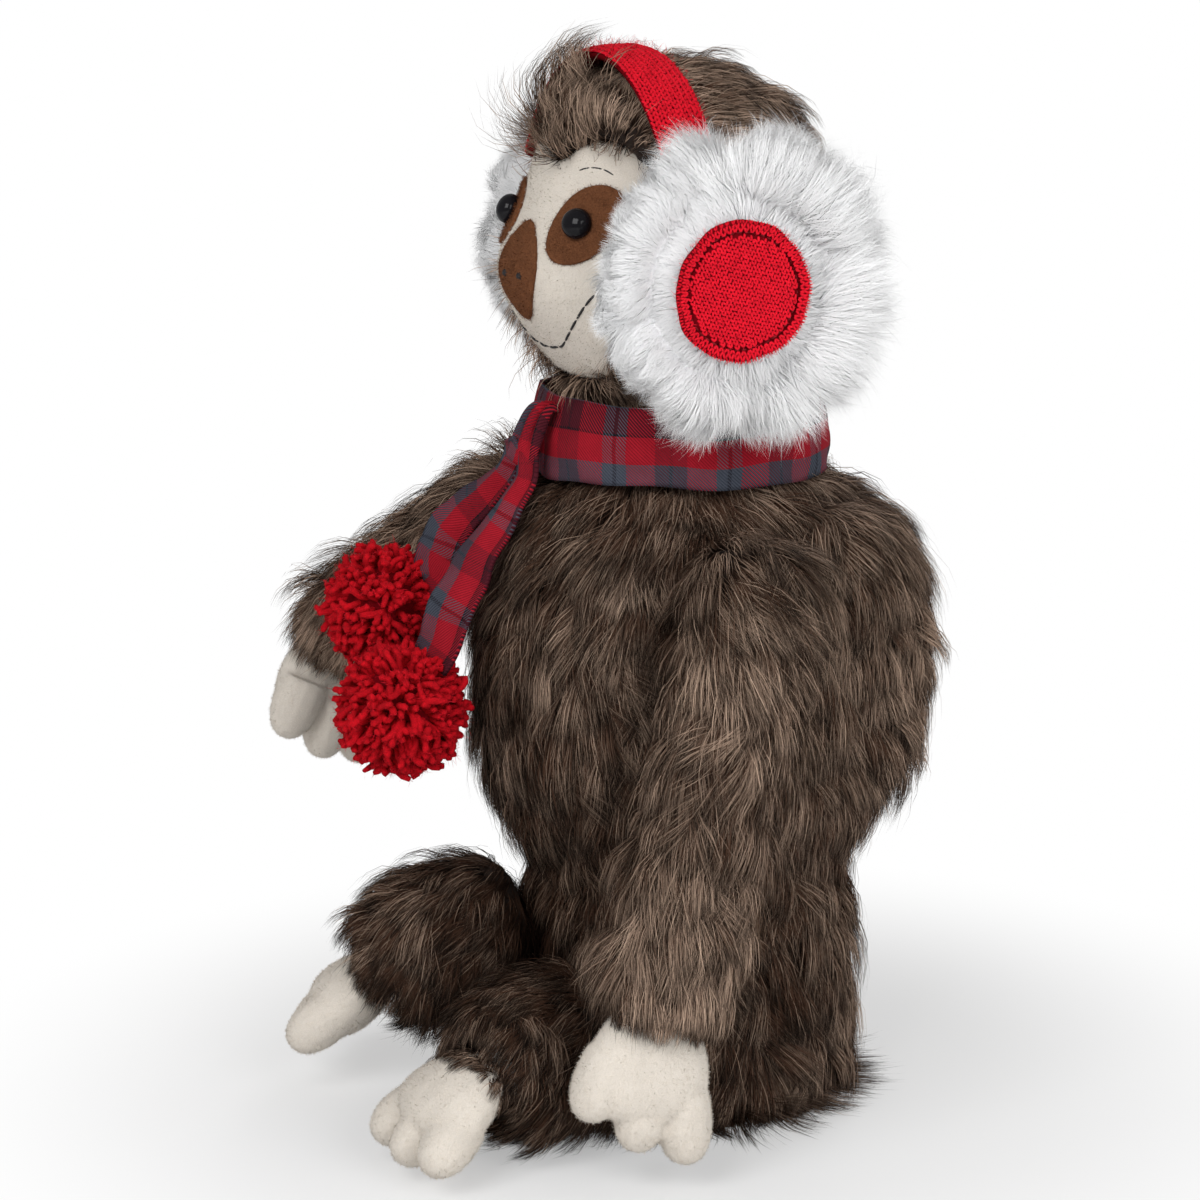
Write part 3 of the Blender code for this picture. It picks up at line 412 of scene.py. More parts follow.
def tree_of(*names):
    """One search tree over the surfaces of several CAD solids."""
    points, faces, start = [], [], 0
    for name in names:
        corners, triangles = cad_arrays(name)
        points.append(corners)
        faces.append(triangles + start)
        start += len(corners)
    return BVHTree.FromPolygons(np.concatenate(points).tolist(), np.concatenate(faces).tolist())


def place_tree(places):
    """A search tree over single places."""
    tree = KDTree(len(places))
    for number, place in enumerate(places):
        tree.insert(place, number)
    tree.balance()
    return tree


def show(obj, material, body, slot=None, replaces=()):
    """Put a piece in the scene, give it its material and let it ride on its body."""
    if obj.name not in bpy.context.scene.collection.objects:
        bpy.context.scene.collection.objects.link(obj)
    if material is not None:
        obj.data.materials.clear()
        obj.data.materials.append(material)
    if body is not None:
        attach(obj, body)
    if replaces:
        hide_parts(*replaces)
    return obj


def walled(piece, name, thickness, offset=-1.0):
    """Give a sheet its thickness: inward from its face, or to both sides."""
    wall = piece.modifiers.new(name, 'SOLIDIFY')
    wall.thickness = thickness
    wall.offset = offset


def mesh_piece(name, points, loops, totals, uvs=None, normals=None):
    """A mesh from arrays: positions, corner indices and the number of corners of each face."""
    data = bpy.data.meshes.new(name)
    loops, totals = np.asarray(loops, np.int32), np.asarray(totals, np.int32)
    starts = np.concatenate(([0], np.cumsum(totals)[:-1])).astype(np.int32)
    data.vertices.add(len(points))
    data.vertices.foreach_set("co", np.asarray(points, np.float32).ravel())
    data.loops.add(len(loops))
    data.loops.foreach_set("vertex_index", loops)
    data.polygons.add(len(totals))
    data.polygons.foreach_set("loop_start", starts)
    data.polygons.foreach_set("loop_total", totals)
    data.update(calc_edges=True)
    data.shade_smooth()
    if uvs is not None:
        layer = data.uv_layers.new(name=UV_NAME)
        layer.uv.foreach_set("vector", np.asarray(uvs, np.float32)[loops].ravel())
    if normals is not None:
        data.normals_split_custom_set_from_vertices(np.asarray(normals, np.float32).tolist())
    return bpy.data.objects.new(name, data)


def bmesh_piece(name, build, smooth=True):
    data = bpy.data.meshes.new(name)
    build.to_mesh(data)
    build.free()
    if smooth:
        data.shade_smooth()
    return bpy.data.objects.new(name, data)


def welded(name):
    """A CAD solid's surface with its corners joined, ready to be changed."""
    build = bmesh.new()
    build.from_mesh(frame["nodes"][name].data)
    bmesh.ops.remove_doubles(build, verts=build.verts, dist=0.05 * MM)
    return build


def calmed(build, verts):
    bmesh.ops.smooth_vert(build, verts=verts, factor=0.5, use_axis_x=True, use_axis_y=True,
                          use_axis_z=True)


def crowned(build, hub, rings):
    """Faces from a hub outward through closed rings of corners."""
    count = len(rings[0])
    for side in range(count):
        build.faces.new((hub, rings[0][side], rings[0][(side + 1) % count]))
    for low, high in zip(rings, rings[1:]):
        for side in range(count):
            after = (side + 1) % count
            build.faces.new((low[side], high[side], high[after], low[after]))


def smooth_step(value, low, high):
    share = np.clip((value - low) / (high - low), 0.0, 1.0)
    return share * share * (3.0 - 2.0 * share)


def unit(vectors):
    return vectors / np.maximum(np.linalg.norm(vectors, axis=-1, keepdims=True), 1e-9)


def step_sizes(line):
    return np.linalg.norm(np.diff(line, axis=0), axis=1)


def run_along(line):
    """How far each place of a line lies from its start."""
    return np.concatenate(([0.0], np.cumsum(step_sizes(line))))


def evened(line, rounds):
    """A line with its kinks taken out; its two ends stay."""
    for _ in range(rounds):
        line[1:-1] = (line[:-2] + 2.0 * line[1:-1] + line[2:]) / 4.0
    return line


def spline(before, here, after, later, steps):
    """Places on the smooth curve from one corner up to the next."""
    return [here * (2 * t ** 3 - 3 * t ** 2 + 1)
            + (after - before) * 0.5 * (t ** 3 - 2 * t ** 2 + t)
            + after * (3 * t ** 2 - 2 * t ** 3) + (later - here) * 0.5 * (t ** 3 - t ** 2)
            for t in (step / steps for step in range(steps))]


def swirl(points, size, seed):
    """Three smooth random numbers at each point, from sums of sine waves of about one size."""
    rng = np.random.default_rng(seed)
    ways = unit(rng.normal(size=(3, 7, 3)))
    waves = ways * (2.0 * np.pi / size) * rng.uniform(0.6, 1.6, (3, 7, 1))
    shifts = rng.uniform(0.0, 2.0 * np.pi, (3, 7))
    return np.stack([np.sin(points @ waves[i].T + shifts[i]).mean(1) for i in range(3)], 1) * 2.2


# Fur

FLOOR_GAP = 0.6 * MM
LONGEST_EDGE = 5.0 * MM
RIM_EASE = 12 * MM
LINING_GAP = 1.5 * MM


def outer_sheet(name, skin, cores, inset, rounds=4):
    """The outer face of a CAD skin, smoothed and drawn inward, as a sheet with open rims."""
    build = welded(skin)
    build.normal_update()
    inner = tree_of(*cores)
    lining = []
    for face in build.faces:
        centre = face.calc_center_median()
        spot, _, _, far = inner.find_nearest(centre)
        if far < LINING_GAP and (spot - centre).dot(face.normal) > -0.3 * far:
            lining.append(face)
    bmesh.ops.delete(build, geom=lining, context='FACES')
    bmesh.ops.dissolve_degenerate(build, dist=0.2 * MM, edges=build.edges)
    bmesh.ops.triangulate(build, faces=build.faces)
    for _ in range(2):
        long_edges = [edge for edge in build.edges if edge.calc_length() > LONGEST_EDGE]
        bmesh.ops.subdivide_edges(build, edges=long_edges, cuts=1)
        bmesh.ops.triangulate(build, faces=build.faces)
    rim = [vert.co.copy() for vert in build.verts if vert.is_boundary]
    middle = [vert for vert in build.verts if not vert.is_boundary]
    for _ in range(rounds):
        calmed(build, middle)
    build.normal_update()
    far_off = (9.0, 9.0, 9.0)
    rim_tree = place_tree([*rim, far_off])
    for vert in build.verts:
        far = rim_tree.find(vert.co)[2]
        vert.co -= vert.normal * (inset * float(smooth_step(far, 0.0, RIM_EASE)))
        vert.co.z = max(vert.co.z, FLOOR_GAP)
    build.normal_update()
    return bmesh_piece(name, build)


def backing(name, skin, core, body, inset, slot="brown_fur", material=None, rounds=4):
    """The cloth that the hairs grow on, as a thin closed shell in place of a CAD skin."""
    sheet = outer_sheet(name, skin, core, inset, rounds)
    walled(sheet, "Cloth", 0.8 * MM)
    show(sheet, material or backing_cloth(), body, slot, (skin,))
    return sheet


SQUARE_CM = 1e-4


def scatter(sheet, per_area, rng):
    """Random places on a sheet, so many to a square centimetre, with their smooth normals."""
    data = sheet.data
    data.calc_loop_triangles()
    points, normals = read(data.vertices, "co", 3), read(data.vertices, "normal", 3)
    corners = read(data.loop_triangles, "vertices", 3, np.int32)
    a, b, c = (points[corners[:, i]] for i in range(3))
    area = np.linalg.norm(np.cross(b - a, c - a), axis=1) / 2.0
    count = int(area.sum() / SQUARE_CM * per_area)
    picked = rng.choice(len(area), count, p=area / area.sum())
    shares = rng.dirichlet((1.0, 1.0, 1.0), count)
    where = np.einsum("ij,ijk->ik", shares, points[corners[picked]])
    facing = unit(np.einsum("ij,ijk->ik", shares, normals[corners[picked]]))
    return where, facing


def clear_of(points, tree, gap):
    """Which points lie farther than a gap from a surface."""
    return np.array([tree.find_nearest(point, gap)[0] is None for point in points.tolist()], bool)


def lock_owner(roots, size, rng):
    """Number of the lock that each root belongs to, and how many locks there are."""
    spread = np.ptp(roots, axis=0)
    area = 2.0 * (spread[0] * spread[1] + spread[1] * spread[2] + spread[0] * spread[2])
    count = min(max(8, int(area / size ** 2)), len(roots))
    centres = roots[rng.choice(len(roots), count, replace=False)]
    tree = place_tree(centres.tolist())
    return np.array([tree.find(point)[1] for point in roots.tolist()]), count


def turned_about(vectors, axes, angles):
    """Vectors turned about unit axes by angles."""
    cosine, sine = np.cos(angles)[:, None], np.sin(angles)[:, None]
    along = (vectors * axes).sum(1, keepdims=True)
    return vectors * cosine + np.cross(axes, vectors) * sine + axes * along * (1.0 - cosine)


HAIR_STEPS = 4
# How much the locks differ in direction, lift and length, and how far single hairs wander
LOCK_TURN, LOCK_LIFT, LOCK_REACH = 0.34, 0.26, (-0.30, 0.22)
WANDER = 0.25
LIFT_LIMITS = (0.12, 1.45)
STRAY_PULL = 0.15


def grow(roots, normals, flow, reach, lift, rng, lock_size, gather=0.54, droop=0.35, press=0.35,
         stray=0.07, tousle=1.0):
    """Centre lines of hairs, an array of hair, step and place.

    A hair leaves its root at the lift angle, bends over into the flow and gathers with
    the others of its lock. A few stray hairs stay out of the locks.
    """
    count = len(roots)
    owner, locks = lock_owner(roots, lock_size, rng)
    flat = unit(flow - (flow * normals).sum(1, keepdims=True) * normals)
    lock_turn = rng.normal(0.0, LOCK_TURN * tousle, locks)[owner]
    lock_lift = rng.normal(0.0, LOCK_LIFT * tousle, locks)[owner]
    shorter, longer = LOCK_REACH
    lock_reach = 1.0 + rng.uniform(shorter * tousle, longer * tousle, locks)[owner]
    own_turn = rng.normal(0.0, WANDER, count)
    flat = turned_about(flat, normals, lock_turn + own_turn + 0.35 * swirl(roots, 0.045, 7)[:, 0])
    angle = np.clip(lift + lock_lift + rng.normal(0.0, 0.12, count), *LIFT_LIMITS)[:, None]
    start = flat * np.cos(angle) + normals * np.sin(angle)
    end = unit(flat + DOWN * droop - normals * press)
    size = reach * lock_reach * rng.uniform(0.72, 1.08, count)
    strays = rng.random(count) < stray
    size = np.where(strays, size * 1.12, size)
    line = [roots]
    for step in range(HAIR_STEPS):
        share = (step + 0.5) / HAIR_STEPS
        way = unit(start * (1.0 - share) + end * share)
        line.append(line[-1] + way * (size / HAIR_STEPS)[:, None])
    curves = np.stack(line, 1)
    members = np.maximum(np.bincount(owner, minlength=locks), 1)[:, None]
    pull = np.where(strays, STRAY_PULL, gather * rng.uniform(0.75, 1.1, count)).clip(0.0, 0.97)
    for step in range(1, HAIR_STEPS + 1):
        here = curves[:, step]
        middle = np.stack([np.bincount(owner, here[:, i], locks) for i in range(3)], 1) / members
        share = (pull * (step / HAIR_STEPS) ** 1.15)[:, None]
        curves[:, step] = here * (1.0 - share) + middle[owner] * share
    return curves, owner


BOX_MARGIN, HAIR_FLOOR = 8.0 * MM, 0.4 * MM


def kept_inside(curves):
    """Hairs held over the floor and inside the space that the CAD box leaves them."""
    low, high = (np.array(corner) for corner in CAD_BOX)
    low, high = low - BOX_MARGIN, high + BOX_MARGIN
    low[2] = HAIR_FLOOR
    return np.clip(curves, low, high)


# The two edges of a hair differ this much in tint, so that its map covers an area
MAP_WIDTH = 0.004


def hair_mesh(name, curves, normals, width, tint, rng, roll=0.55, taper=(0.75, 1.0, 0.85, 0.55)):
    """Hairs as narrow tapered ribbons that face outward, each with a pointed tip.

    The map of a hair holds its tint and the place along it. Its shading follows the
    surface it grows on more than the ribbon.
    """
    count, rings = len(curves), curves.shape[1]
    facing = unit(normals + rng.normal(0.0, roll, (count, 3)))
    ahead = unit(np.gradient(curves, axis=1))
    across = unit(np.cross(ahead, facing[:, None, :]))
    widths = (width * rng.uniform(0.75, 1.25, count))[:, None, None]
    wide = np.asarray(taper)[None, :, None] * widths / 2.0
    left = curves[:, :-1] - across[:, :-1] * wide
    right = curves[:, :-1] + across[:, :-1] * wide
    sides = np.stack([left, right], 2).reshape(count, -1, 3)
    points = np.concatenate([sides, curves[:, -1:]], 1)
    each = points.shape[1]
    last = 2 * (rings - 2)
    quads = [corner + 2 * i for i in range(rings - 2) for corner in (0, 1, 3, 2)]
    pattern = np.array(quads + [last, last + 1, last + 2])
    loops = (pattern[None, :] + (np.arange(count) * each)[:, None]).ravel()
    totals = np.tile([4] * (rings - 2) + [3], count)
    along = np.concatenate([np.repeat(np.arange(rings - 1), 2), [rings - 1]]) / (rings - 1)
    spots = np.empty((count, each, 2))
    spots[:, :, 0] = tint[:, None]
    spots[:, :, 1] = along[None, :]
    spots[:, 1:-1:2, 0] += MAP_WIDTH
    spots = spots.clip(0.002, 0.998)
    shade = np.cross(across, ahead)
    shade = np.where((shade * normals[:, None, :]).sum(2, keepdims=True) < 0.0, -shade, shade)
    shade = unit(shade * 0.6 + normals[:, None, :])
    shades = np.concatenate([np.repeat(shade[:, :-1], 2, axis=1), shade[:, -1:]], 1)
    return mesh_piece(name, points.reshape(-1, 3), loops, totals, spots.reshape(-1, 2),
                      shades.reshape(-1, 3))


MOST_HAIRS = 28000


def hair_pieces(name, curves, normals, tint, width, rng, material, body, slot):
    """Hairs in as many pieces as their number needs, each a level slice of the whole."""
    order = np.argsort(curves[:, 0, 2], kind="stable")
    parts = max(1, math.ceil(len(order) / MOST_HAIRS))
    made = []
    for number, chosen in enumerate(np.array_split(order, parts)):
        piece = hair_mesh(f"{name}_{number + 1}", curves[chosen], normals[chosen], width,
                          tint[chosen], rng)
        made.append(show(piece, material, body, slot))
    return made


TINT_SPREAD = 0.44


def coat_tint(roots, owner, rng, middle):
    """How frosted each hair is: broad patches, locks and single hairs.

    On the trunk and legs the middle given for a place is lowered as painted shade.
    """
    patches = swirl(roots, 0.07, 11)[:, 0] * 0.13 + swirl(roots, 0.022, 12)[:, 1] * 0.11
    locks = rng.normal(0.0, TINT_SPREAD * 0.34, owner.max() + 1)[owner]
    single = rng.normal(0.0, TINT_SPREAD * 0.66, len(roots))
    return np.clip(middle(roots) + patches + locks + single, 0.0, 1.0)


def evenly(value):
    """A function that has one value all over a coat."""
    return lambda points: value


def grow_coat(name, sheet, flow, reach, lift, body, seed, *, tint, tint_by=coat_tint, avoid=(),
              gap=0.0, keep=None, density=1.0, width=1.0, material=None, slot="brown_fur",
              obstacles=(), shaded_beside=(), lock_size=None, **shape):
    """Hairs over a backing sheet, left out where other solids cover it.

    Reach, lift and tint are functions of the place. Hairs that would enter an obstacle
    are trimmed or left out, and those close beside the listed solids are painted dark as crease
    shade.
    """
    rng = np.random.default_rng(SEED + seed)
    settings = fur()
    thin = 1.0
    roots, normals = scatter(sheet, settings.per_area * density * thin, rng)
    if avoid:
        chosen = clear_of(roots, tree_of(*avoid), gap)
        roots, normals = roots[chosen], normals[chosen]
    if keep is not None:
        chosen = keep(roots, normals)
        roots, normals = roots[chosen], normals[chosen]
    sizes, lifts, ways = reach(roots), lift(roots), flow(roots)
    curves, owner = grow(roots, normals, ways, sizes, lifts, rng, lock_size or settings.lock_size,
                         **shape)
    curves = kept_inside(curves)
    chosen = np.ones(len(roots), bool)
    for solid in obstacles:
        for _ in range(3):
            blocked = ~passes_by(curves, solid)
            base = curves[blocked][:, :1]
            curves[blocked] = base + (curves[blocked] - base) * TRIM_SHARE
        chosen &= passes_by(curves, solid)
    # Hairs beside those solids are painted darker, down to the root colour: painted shade in the
    # crease
    deep = crease_shade(roots, *shaded_beside) if shaded_beside else 0.0
    shades = (CREASE_SHADE_SHARE + (1.0 - CREASE_SHADE_SHARE) * tint_by(roots, owner, rng, tint)) * (1.0 - deep)
    return hair_pieces(name, curves[chosen], normals[chosen], shades[chosen],
                       settings.hair_width * width / math.sqrt(thin), rng,
                       material or brown_hair(), body, slot)


# How far from another solid the hairs still get painted crease shade
CREASE_SHADE_REACH = 0.013


def crease_shade(roots, *solids):
    """How much painted shade each root gets for its nearness to other solids: one at the seam."""
    tree = tree_of(*solids)
    far = np.array([tree.find_nearest(point, CREASE_SHADE_REACH)[3] or CREASE_SHADE_REACH
                    for point in roots.tolist()])
    return 1.0 - smooth_step(far, 0.3 * CREASE_SHADE_REACH, CREASE_SHADE_REACH)


TRIM_SHARE = 0.62
OBSTACLE_GAP = 0.8 * MM


def passes_by(curves, solid):
    """Which hairs stay out of a solid."""
    low, high = box_of(solid)
    points = curves[:, 1:].reshape(-1, 3)
    near = ((points > low - OBSTACLE_GAP) & (points < high + OBSTACLE_GAP)).all(1)
    tree = tree_of(solid)
    blocked = np.zeros(len(points), bool)
    for number in np.flatnonzero(near):
        point = Vector(points[number])
        spot, outward, _, far = tree.find_nearest(point)
        blocked[number] = far < OBSTACLE_GAP or (point - spot).dot(outward) < 0.0
    return ~blocked.reshape(len(curves), -1).any(1)


PILE_WIDTH = 0.12 * MM


def fuzz(name, points, outs, reach, width, tints, rng, material, body, slot, roll=1.0):
    """Short loose fibres that stand off a yarn or cloth surface."""
    aside = unit(outs + rng.normal(0.0, 0.75, outs.shape))
    bend = unit(aside + rng.normal(0.0, 0.7, outs.shape))
    size = (reach * rng.uniform(0.4, 1.2, len(points)))[:, None]
    curves = np.stack([points, points + aside * size * 0.35,
                       points + (aside * 0.45 + bend * 0.25) * size,
                       points + (aside * 0.5 + bend * 0.5) * size], 1)
    piece = hair_mesh(name, kept_inside(curves), outs, width, tints, rng, roll, (0.9, 1.0, 0.7))
    return show(piece, material, body, slot)


def pile(name, sheet, reach, per_area, material, body, slot, seed):
    """Short standing fibres over a velour or felt surface."""
    rng = np.random.default_rng(SEED + seed)
    points, outs = scatter(sheet, per_area * (1.0), rng)
    tints = rng.uniform(0.45, 1.0, len(points))
    return fuzz(name, points, outs, reach, PILE_WIDTH, tints, rng, material, body, slot, 0.3)


LIMB_SKINS = ("arm_skin_left", "arm_skin_right", "leg_skin_left", "leg_skin_right")


class SLOTH_OT_torso(bpy.types.Operator):
    """Long fur of the trunk on its backing cloth"""
    bl_idname = "sloth.torso"
    bl_label = "Torso fur"

    def execute(self, context):
        settings = fur()
        sheet = backing("torso_backing", "torso_skin", ("torso_stuffing", "pellet_bag"), "torso",
                        settings.inset)
        seat = joint_place("leg_left_fold")[2]

        def flow(points):
            outward = unit(points * (1.0, 1.0, 0.0))
            low = smooth_step(-points[:, 2:], -seat - 30 * MM, -seat + 15 * MM)
            return DOWN + outward * (0.10 + 0.75 * low)

        def keep(points, normals):
            underside = (points[:, 2] < 4 * MM) & (normals[:, 2] < -0.35)
            return ~underside

        # Painted shade: the trunk's hairs are darker low down and at the front
        def tint(points):
            high = smooth_step(points[:, 2], 90 * MM, 210 * MM)
            behind = smooth_step(points[:, 1], -5 * MM, 30 * MM)
            return 0.08 + 0.12 * high + 0.22 * behind

        # Hairs beside the limbs are painted dark as crease shade
        grow_coat("torso_fur", sheet, flow, evenly(settings.body_length), evenly(0.52), "torso", 1,
                  tint=tint, keep=keep, avoid=LIMB_SKINS, gap=3.0 * MM, shaded_beside=LIMB_SKINS,
                  obstacles=("scarf_wrap",))
        return {'FINISHED'}


def limb_reach(end, near, far, added):
    """Hairs of a limb: short at its hand or foot and longer away from it."""
    def reach(points):
        away = np.linalg.norm(points - end, axis=1)
        return fur().body_length * (0.42 + added * smooth_step(away, near, far))
    return reach


class SLOTH_OT_arms(bpy.types.Operator):
    """Long fur of both arms, lying towards the hands"""
    bl_idname = "sloth.arms"
    bl_label = "Arm fur"

    def execute(self, context):
        for number, side in enumerate(SIDES):
            body = "arm_" + side
            sheet = backing("arm_backing_" + side, "arm_skin_" + side, ("arm_stuffing_" + side,),
                            body, fur().inset)
            shoulder, hand = joint_place(f"arm_{side}_swing"), middle_of("hand_" + side)
            ahead = unit(hand - shoulder)
            outward = np.array((SIDES[side], 0.0, 0.0))

            def flow(points):
                cap = smooth_step(points[:, 2:], shoulder[2] - 22 * MM, shoulder[2] + 12 * MM)
                return ahead + DOWN * 0.35 + outward * 0.8 * cap

            def tint(points):
                low = 1.0 - smooth_step(points[:, 2], 90 * MM, 160 * MM)
                return 0.34 + 0.16 * low

            # Hairs beside the trunk are painted dark as crease shade
            grow_coat("arm_fur_" + side, sheet, flow, limb_reach(hand, 26 * MM, 52 * MM, 0.58),
                      evenly(0.50), body, 10 + number, tint=tint, density=1.15,
                      avoid=("torso_skin",), gap=2.0 * MM, shaded_beside=("torso_skin",))
        return {'FINISHED'}


class SLOTH_OT_legs(bpy.types.Operator):
    """Fur of both legs on their backing cloth, which ride on no body"""
    bl_idname = "sloth.legs"
    bl_label = "Leg fur"

    def execute(self, context):
        for number, side in enumerate(SIDES):
            body, skin = "leg_" + side, "leg_skin_" + side
            hinge, foot = joint_place(f"leg_{side}_fold"), middle_of("foot_" + side)
            sheet = backing("leg_backing_" + side, skin, ("leg_stuffing_" + side,), None,
                            fur().inset * 0.8)
            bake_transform(sheet)
            ahead = unit(foot - hinge)

            def flow(points):
                return ahead + DOWN * 0.45 + 0 * points

            # The legs' hairs get the lowest tint as painted shade under the trunk, and those beside
            # it are darker still as crease shade
            for piece in grow_coat("leg_fur_" + side, sheet, flow,
                                   limb_reach(foot, 20 * MM, 44 * MM, 0.38), evenly(0.5), None,
                                   20 + number, tint=evenly(-0.06), avoid=("torso_skin",),
                                   gap=3.5 * MM, shaded_beside=("torso_skin",)):
                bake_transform(piece)
        return {'FINISHED'}


class SLOTH_OT_head(bpy.types.Operator):
    """Fur hood round the velour face"""
    bl_idname = "sloth.head"
    bl_label = "Head fur"

    def execute(self, context):
        settings = fur()
        sheet = backing("head_backing", "head_skin", ("head_stuffing",), "head",
                        settings.inset * 0.8)
        face = middle_of("face_panel")
        neck = box_of("head_skin")[0][2]
        (_, front, _), (_, back, crown) = box_of("headband")

        def forelock(points):
            """How much a place belongs to the tuft between the face and the band."""
            high = smooth_step(points[:, 2], crown - 34 * MM, crown - 16 * MM)
            return high * smooth_step(-points[:, 1], -back, -front + 6 * MM)

        def fringe(points):
            """How much a place belongs to the full hair just in front of the band."""
            ahead = smooth_step(-points[:, 1], -front - 6 * MM, -front + 2 * MM)
            return ahead * smooth_step(points[:, 2], face[2] + 4 * MM, face[2] + 26 * MM)

        def flow(points):
            away = unit(points - face)
            down = smooth_step(points[:, 1:2], -30 * MM, 20 * MM)
            combed = away * (1.2 - 0.7 * down) + DOWN * (0.15 + 0.9 * down)
            tuft = forelock(points)[:, None]
            return combed * (1.0 - tuft) + tuft * np.array((0.0, 0.25, 1.0))

        def reach(points):
            far = smooth_step(-points[:, 0], 2 * MM, 18 * MM)
            fuller = (0.22 + 0.45 * far) * fringe(points)
            return settings.head_length * (1.0 + 0.30 * forelock(points) + fuller)

        def lift(points):
            behind = smooth_step(points[:, 1], front, back + 12 * MM)
            return 0.62 + 0.28 * forelock(points) + 0.34 * fringe(points) - 0.30 * behind

        def keep(points, normals):
            return points[:, 2] > neck + 4 * MM

        grow_coat("head_fur", sheet, flow, reach, lift, "head", 30, tint=evenly(0.60), keep=keep,
                  avoid=("headband",), gap=1.6 * MM, density=1.15,
                  lock_size=settings.lock_size * 0.85, droop=0.25,
                  obstacles=("headband", "eye_left", "eye_right"))
        return {'FINISHED'}


# Filling and hidden parts

def filling(name, solid, body, shrink, material, slot="stuffing", scale=1.0):
    """Soft filling, a little smaller than its CAD solid and lumpy as fibre is."""
    build = welded(solid)
    bmesh.ops.subdivide_edges(build, edges=build.edges, cuts=1)
    calmed(build, build.verts)
    build.normal_update()
    places = np.array([vert.co for vert in build.verts])
    middle = Vector(places.mean(0))
    lumps = swirl(places, 0.016, 5)[:, 0]
    for vert, lump in zip(build.verts, lumps):
        inward = vert.normal * shrink * (1.15 - 0.15 * float(lump))
        vert.co = middle + (vert.co - middle) * scale - inward
        vert.co.z = max(vert.co.z, 1.6 * MM)
    piece = show(bmesh_piece(name, build), material, body, slot, (solid,))
    return piece


class SLOTH_OT_filling(bpy.types.Operator):
    """Stuffing, pellet bag and eye washers inside the toy"""
    bl_idname = "sloth.filling"
    bl_label = "Filling"

    def execute(self, context):
        fibre = grained("filling_fibre", cloth().filling)
        bag = grained("pellet_bag_cloth", (0.50, 0.50, 0.49))
        shrink = fur().inset * 0.45
        filling("torso_filling", "torso_stuffing", "torso", shrink, fibre)
        filling("seat_pellets", "pellet_bag", "torso", shrink, bag, "pellet_cloth")
        filling("head_filling", "head_stuffing", "head", shrink, fibre)
        for side in SIDES:
            filling("arm_filling_" + side, "arm_stuffing_" + side, "arm_" + side, shrink * 2.0,
                    fibre, scale=0.92)
            filling("leg_filling_" + side, "leg_stuffing_" + side, "leg_" + side, shrink * 2.2,
                    fibre, scale=0.80)
            filling("muff_core_" + side, "muff_filling_" + side, "head", shrink * 1.4, fibre)
            washer = frame["nodes"]["eye_washer_" + side].data.materials
            washer.clear()
            washer.append(grained("washer_moulding", (0.70, 0.70, 0.69)))
        return {'FINISHED'}


# Face

NOSE_SHARES = ((0.00, -0.52), (0.40, -0.43), (0.88, -0.16), (1.00, 0.08), (0.64, 0.35),
               (0.00, 0.53))
SMILE_SHARES = ((-1.00, -0.20), (-0.68, -0.47), (-0.34, -0.68), (-0.12, -0.72), (0.0, -0.73),
                (0.12, -0.72), (0.34, -0.68), (0.68, -0.47), (1.00, -0.20))
BROW_SHARES = ((0.47, 0.77), (0.60, 0.80), (0.76, 0.79), (0.92, 0.73))
KNOT_SHAPE = ((-1.2, -0.4), (-0.5, 0.3), (0.5, 0.3), (1.2, -0.4))
FELT_THICKNESS = 1.1 * MM
FELT_EDGE = ((0.985, 0.86), (1.0, 0.55), (0.995, 0.10))
PATCH_WIDTH, PATCH_HEIGHTS, PATCH_LEAN = 0.85, {"left": 0.93, "right": 0.76}, math.radians(22.0)
EYE_DEPTH = 0.80
# How much of the face's half width the smile and the brows reach
FEATURE_SPAN = 0.76


def on_face(tree, across, height, lift=0.0):
    """The place on the face at a distance across and a height, lifted along the normal there."""
    spot, outward, _, _ = tree.ray_cast(Vector((across, -0.2, height)), Vector((0.0, 1.0, 0.0)))
    if spot is None:
        rim = box_of("face_panel")[0][1] + 15 * MM
        edge, outward, _, _ = tree.find_nearest(Vector((across, rim, height)))
        slope = outward.x * (across - edge.x) + outward.z * (height - edge.z)
        spot = Vector((across, edge.y - slope / min(outward.y, -0.35), height))
    near = [tree.find_nearest(spot + Vector((dx, 0.0, dz)))[1]
            for dx, dz in ((2 * MM, 0.0), (-2 * MM, 0.0), (0.0, 2 * MM), (0.0, -2 * MM))]
    outward = sum(near, outward).normalized()
    return spot + outward * lift, outward


def felt_piece(name, tree, outline, middle, material, replaces):
    """A cut felt shape that follows the face, with a rounded cut edge."""
    build = bmesh.new()
    profile = [(share, 1.0) for share in np.linspace(0.0, 1.0, 9)[1:] ** 0.8 * 0.965]
    hub = build.verts.new(on_face(tree, *middle, FELT_THICKNESS)[0])
    rings = []
    for share, rise in (*profile, *FELT_EDGE):
        places = [(middle[0] + (x - middle[0]) * share, middle[1] + (z - middle[1]) * share)
                  for x, z in outline]
        rings.append([build.verts.new(on_face(tree, *place, FELT_THICKNESS * rise)[0])
                      for place in places])
    rings.append([build.verts.new(on_face(tree, x, z, -0.3 * MM)[0]) for x, z in outline])
    crowned(build, hub, rings)
    build.faces.new(list(reversed(rings[-1])))
    bmesh.ops.recalc_face_normals(build, faces=build.faces)
    return show(bmesh_piece(name, build), material, "head", "brown_felt", replaces)


def closed_curve(shares, wide, tall, middle):
    """A smooth outline through half-outline shares, the same on both sides."""
    half = [(x * wide, z * tall) for x, z in shares]
    corners = np.array(half + [(-x, z) for x, z in reversed(half[1:-1])])
    count = len(corners)
    out = [place for i in range(count)
           for place in spline(*(corners[(i + k) % count] for k in (-1, 0, 1, 2)), 6)]
    return [(middle[0] + x, middle[1] + z) for x, z in out]


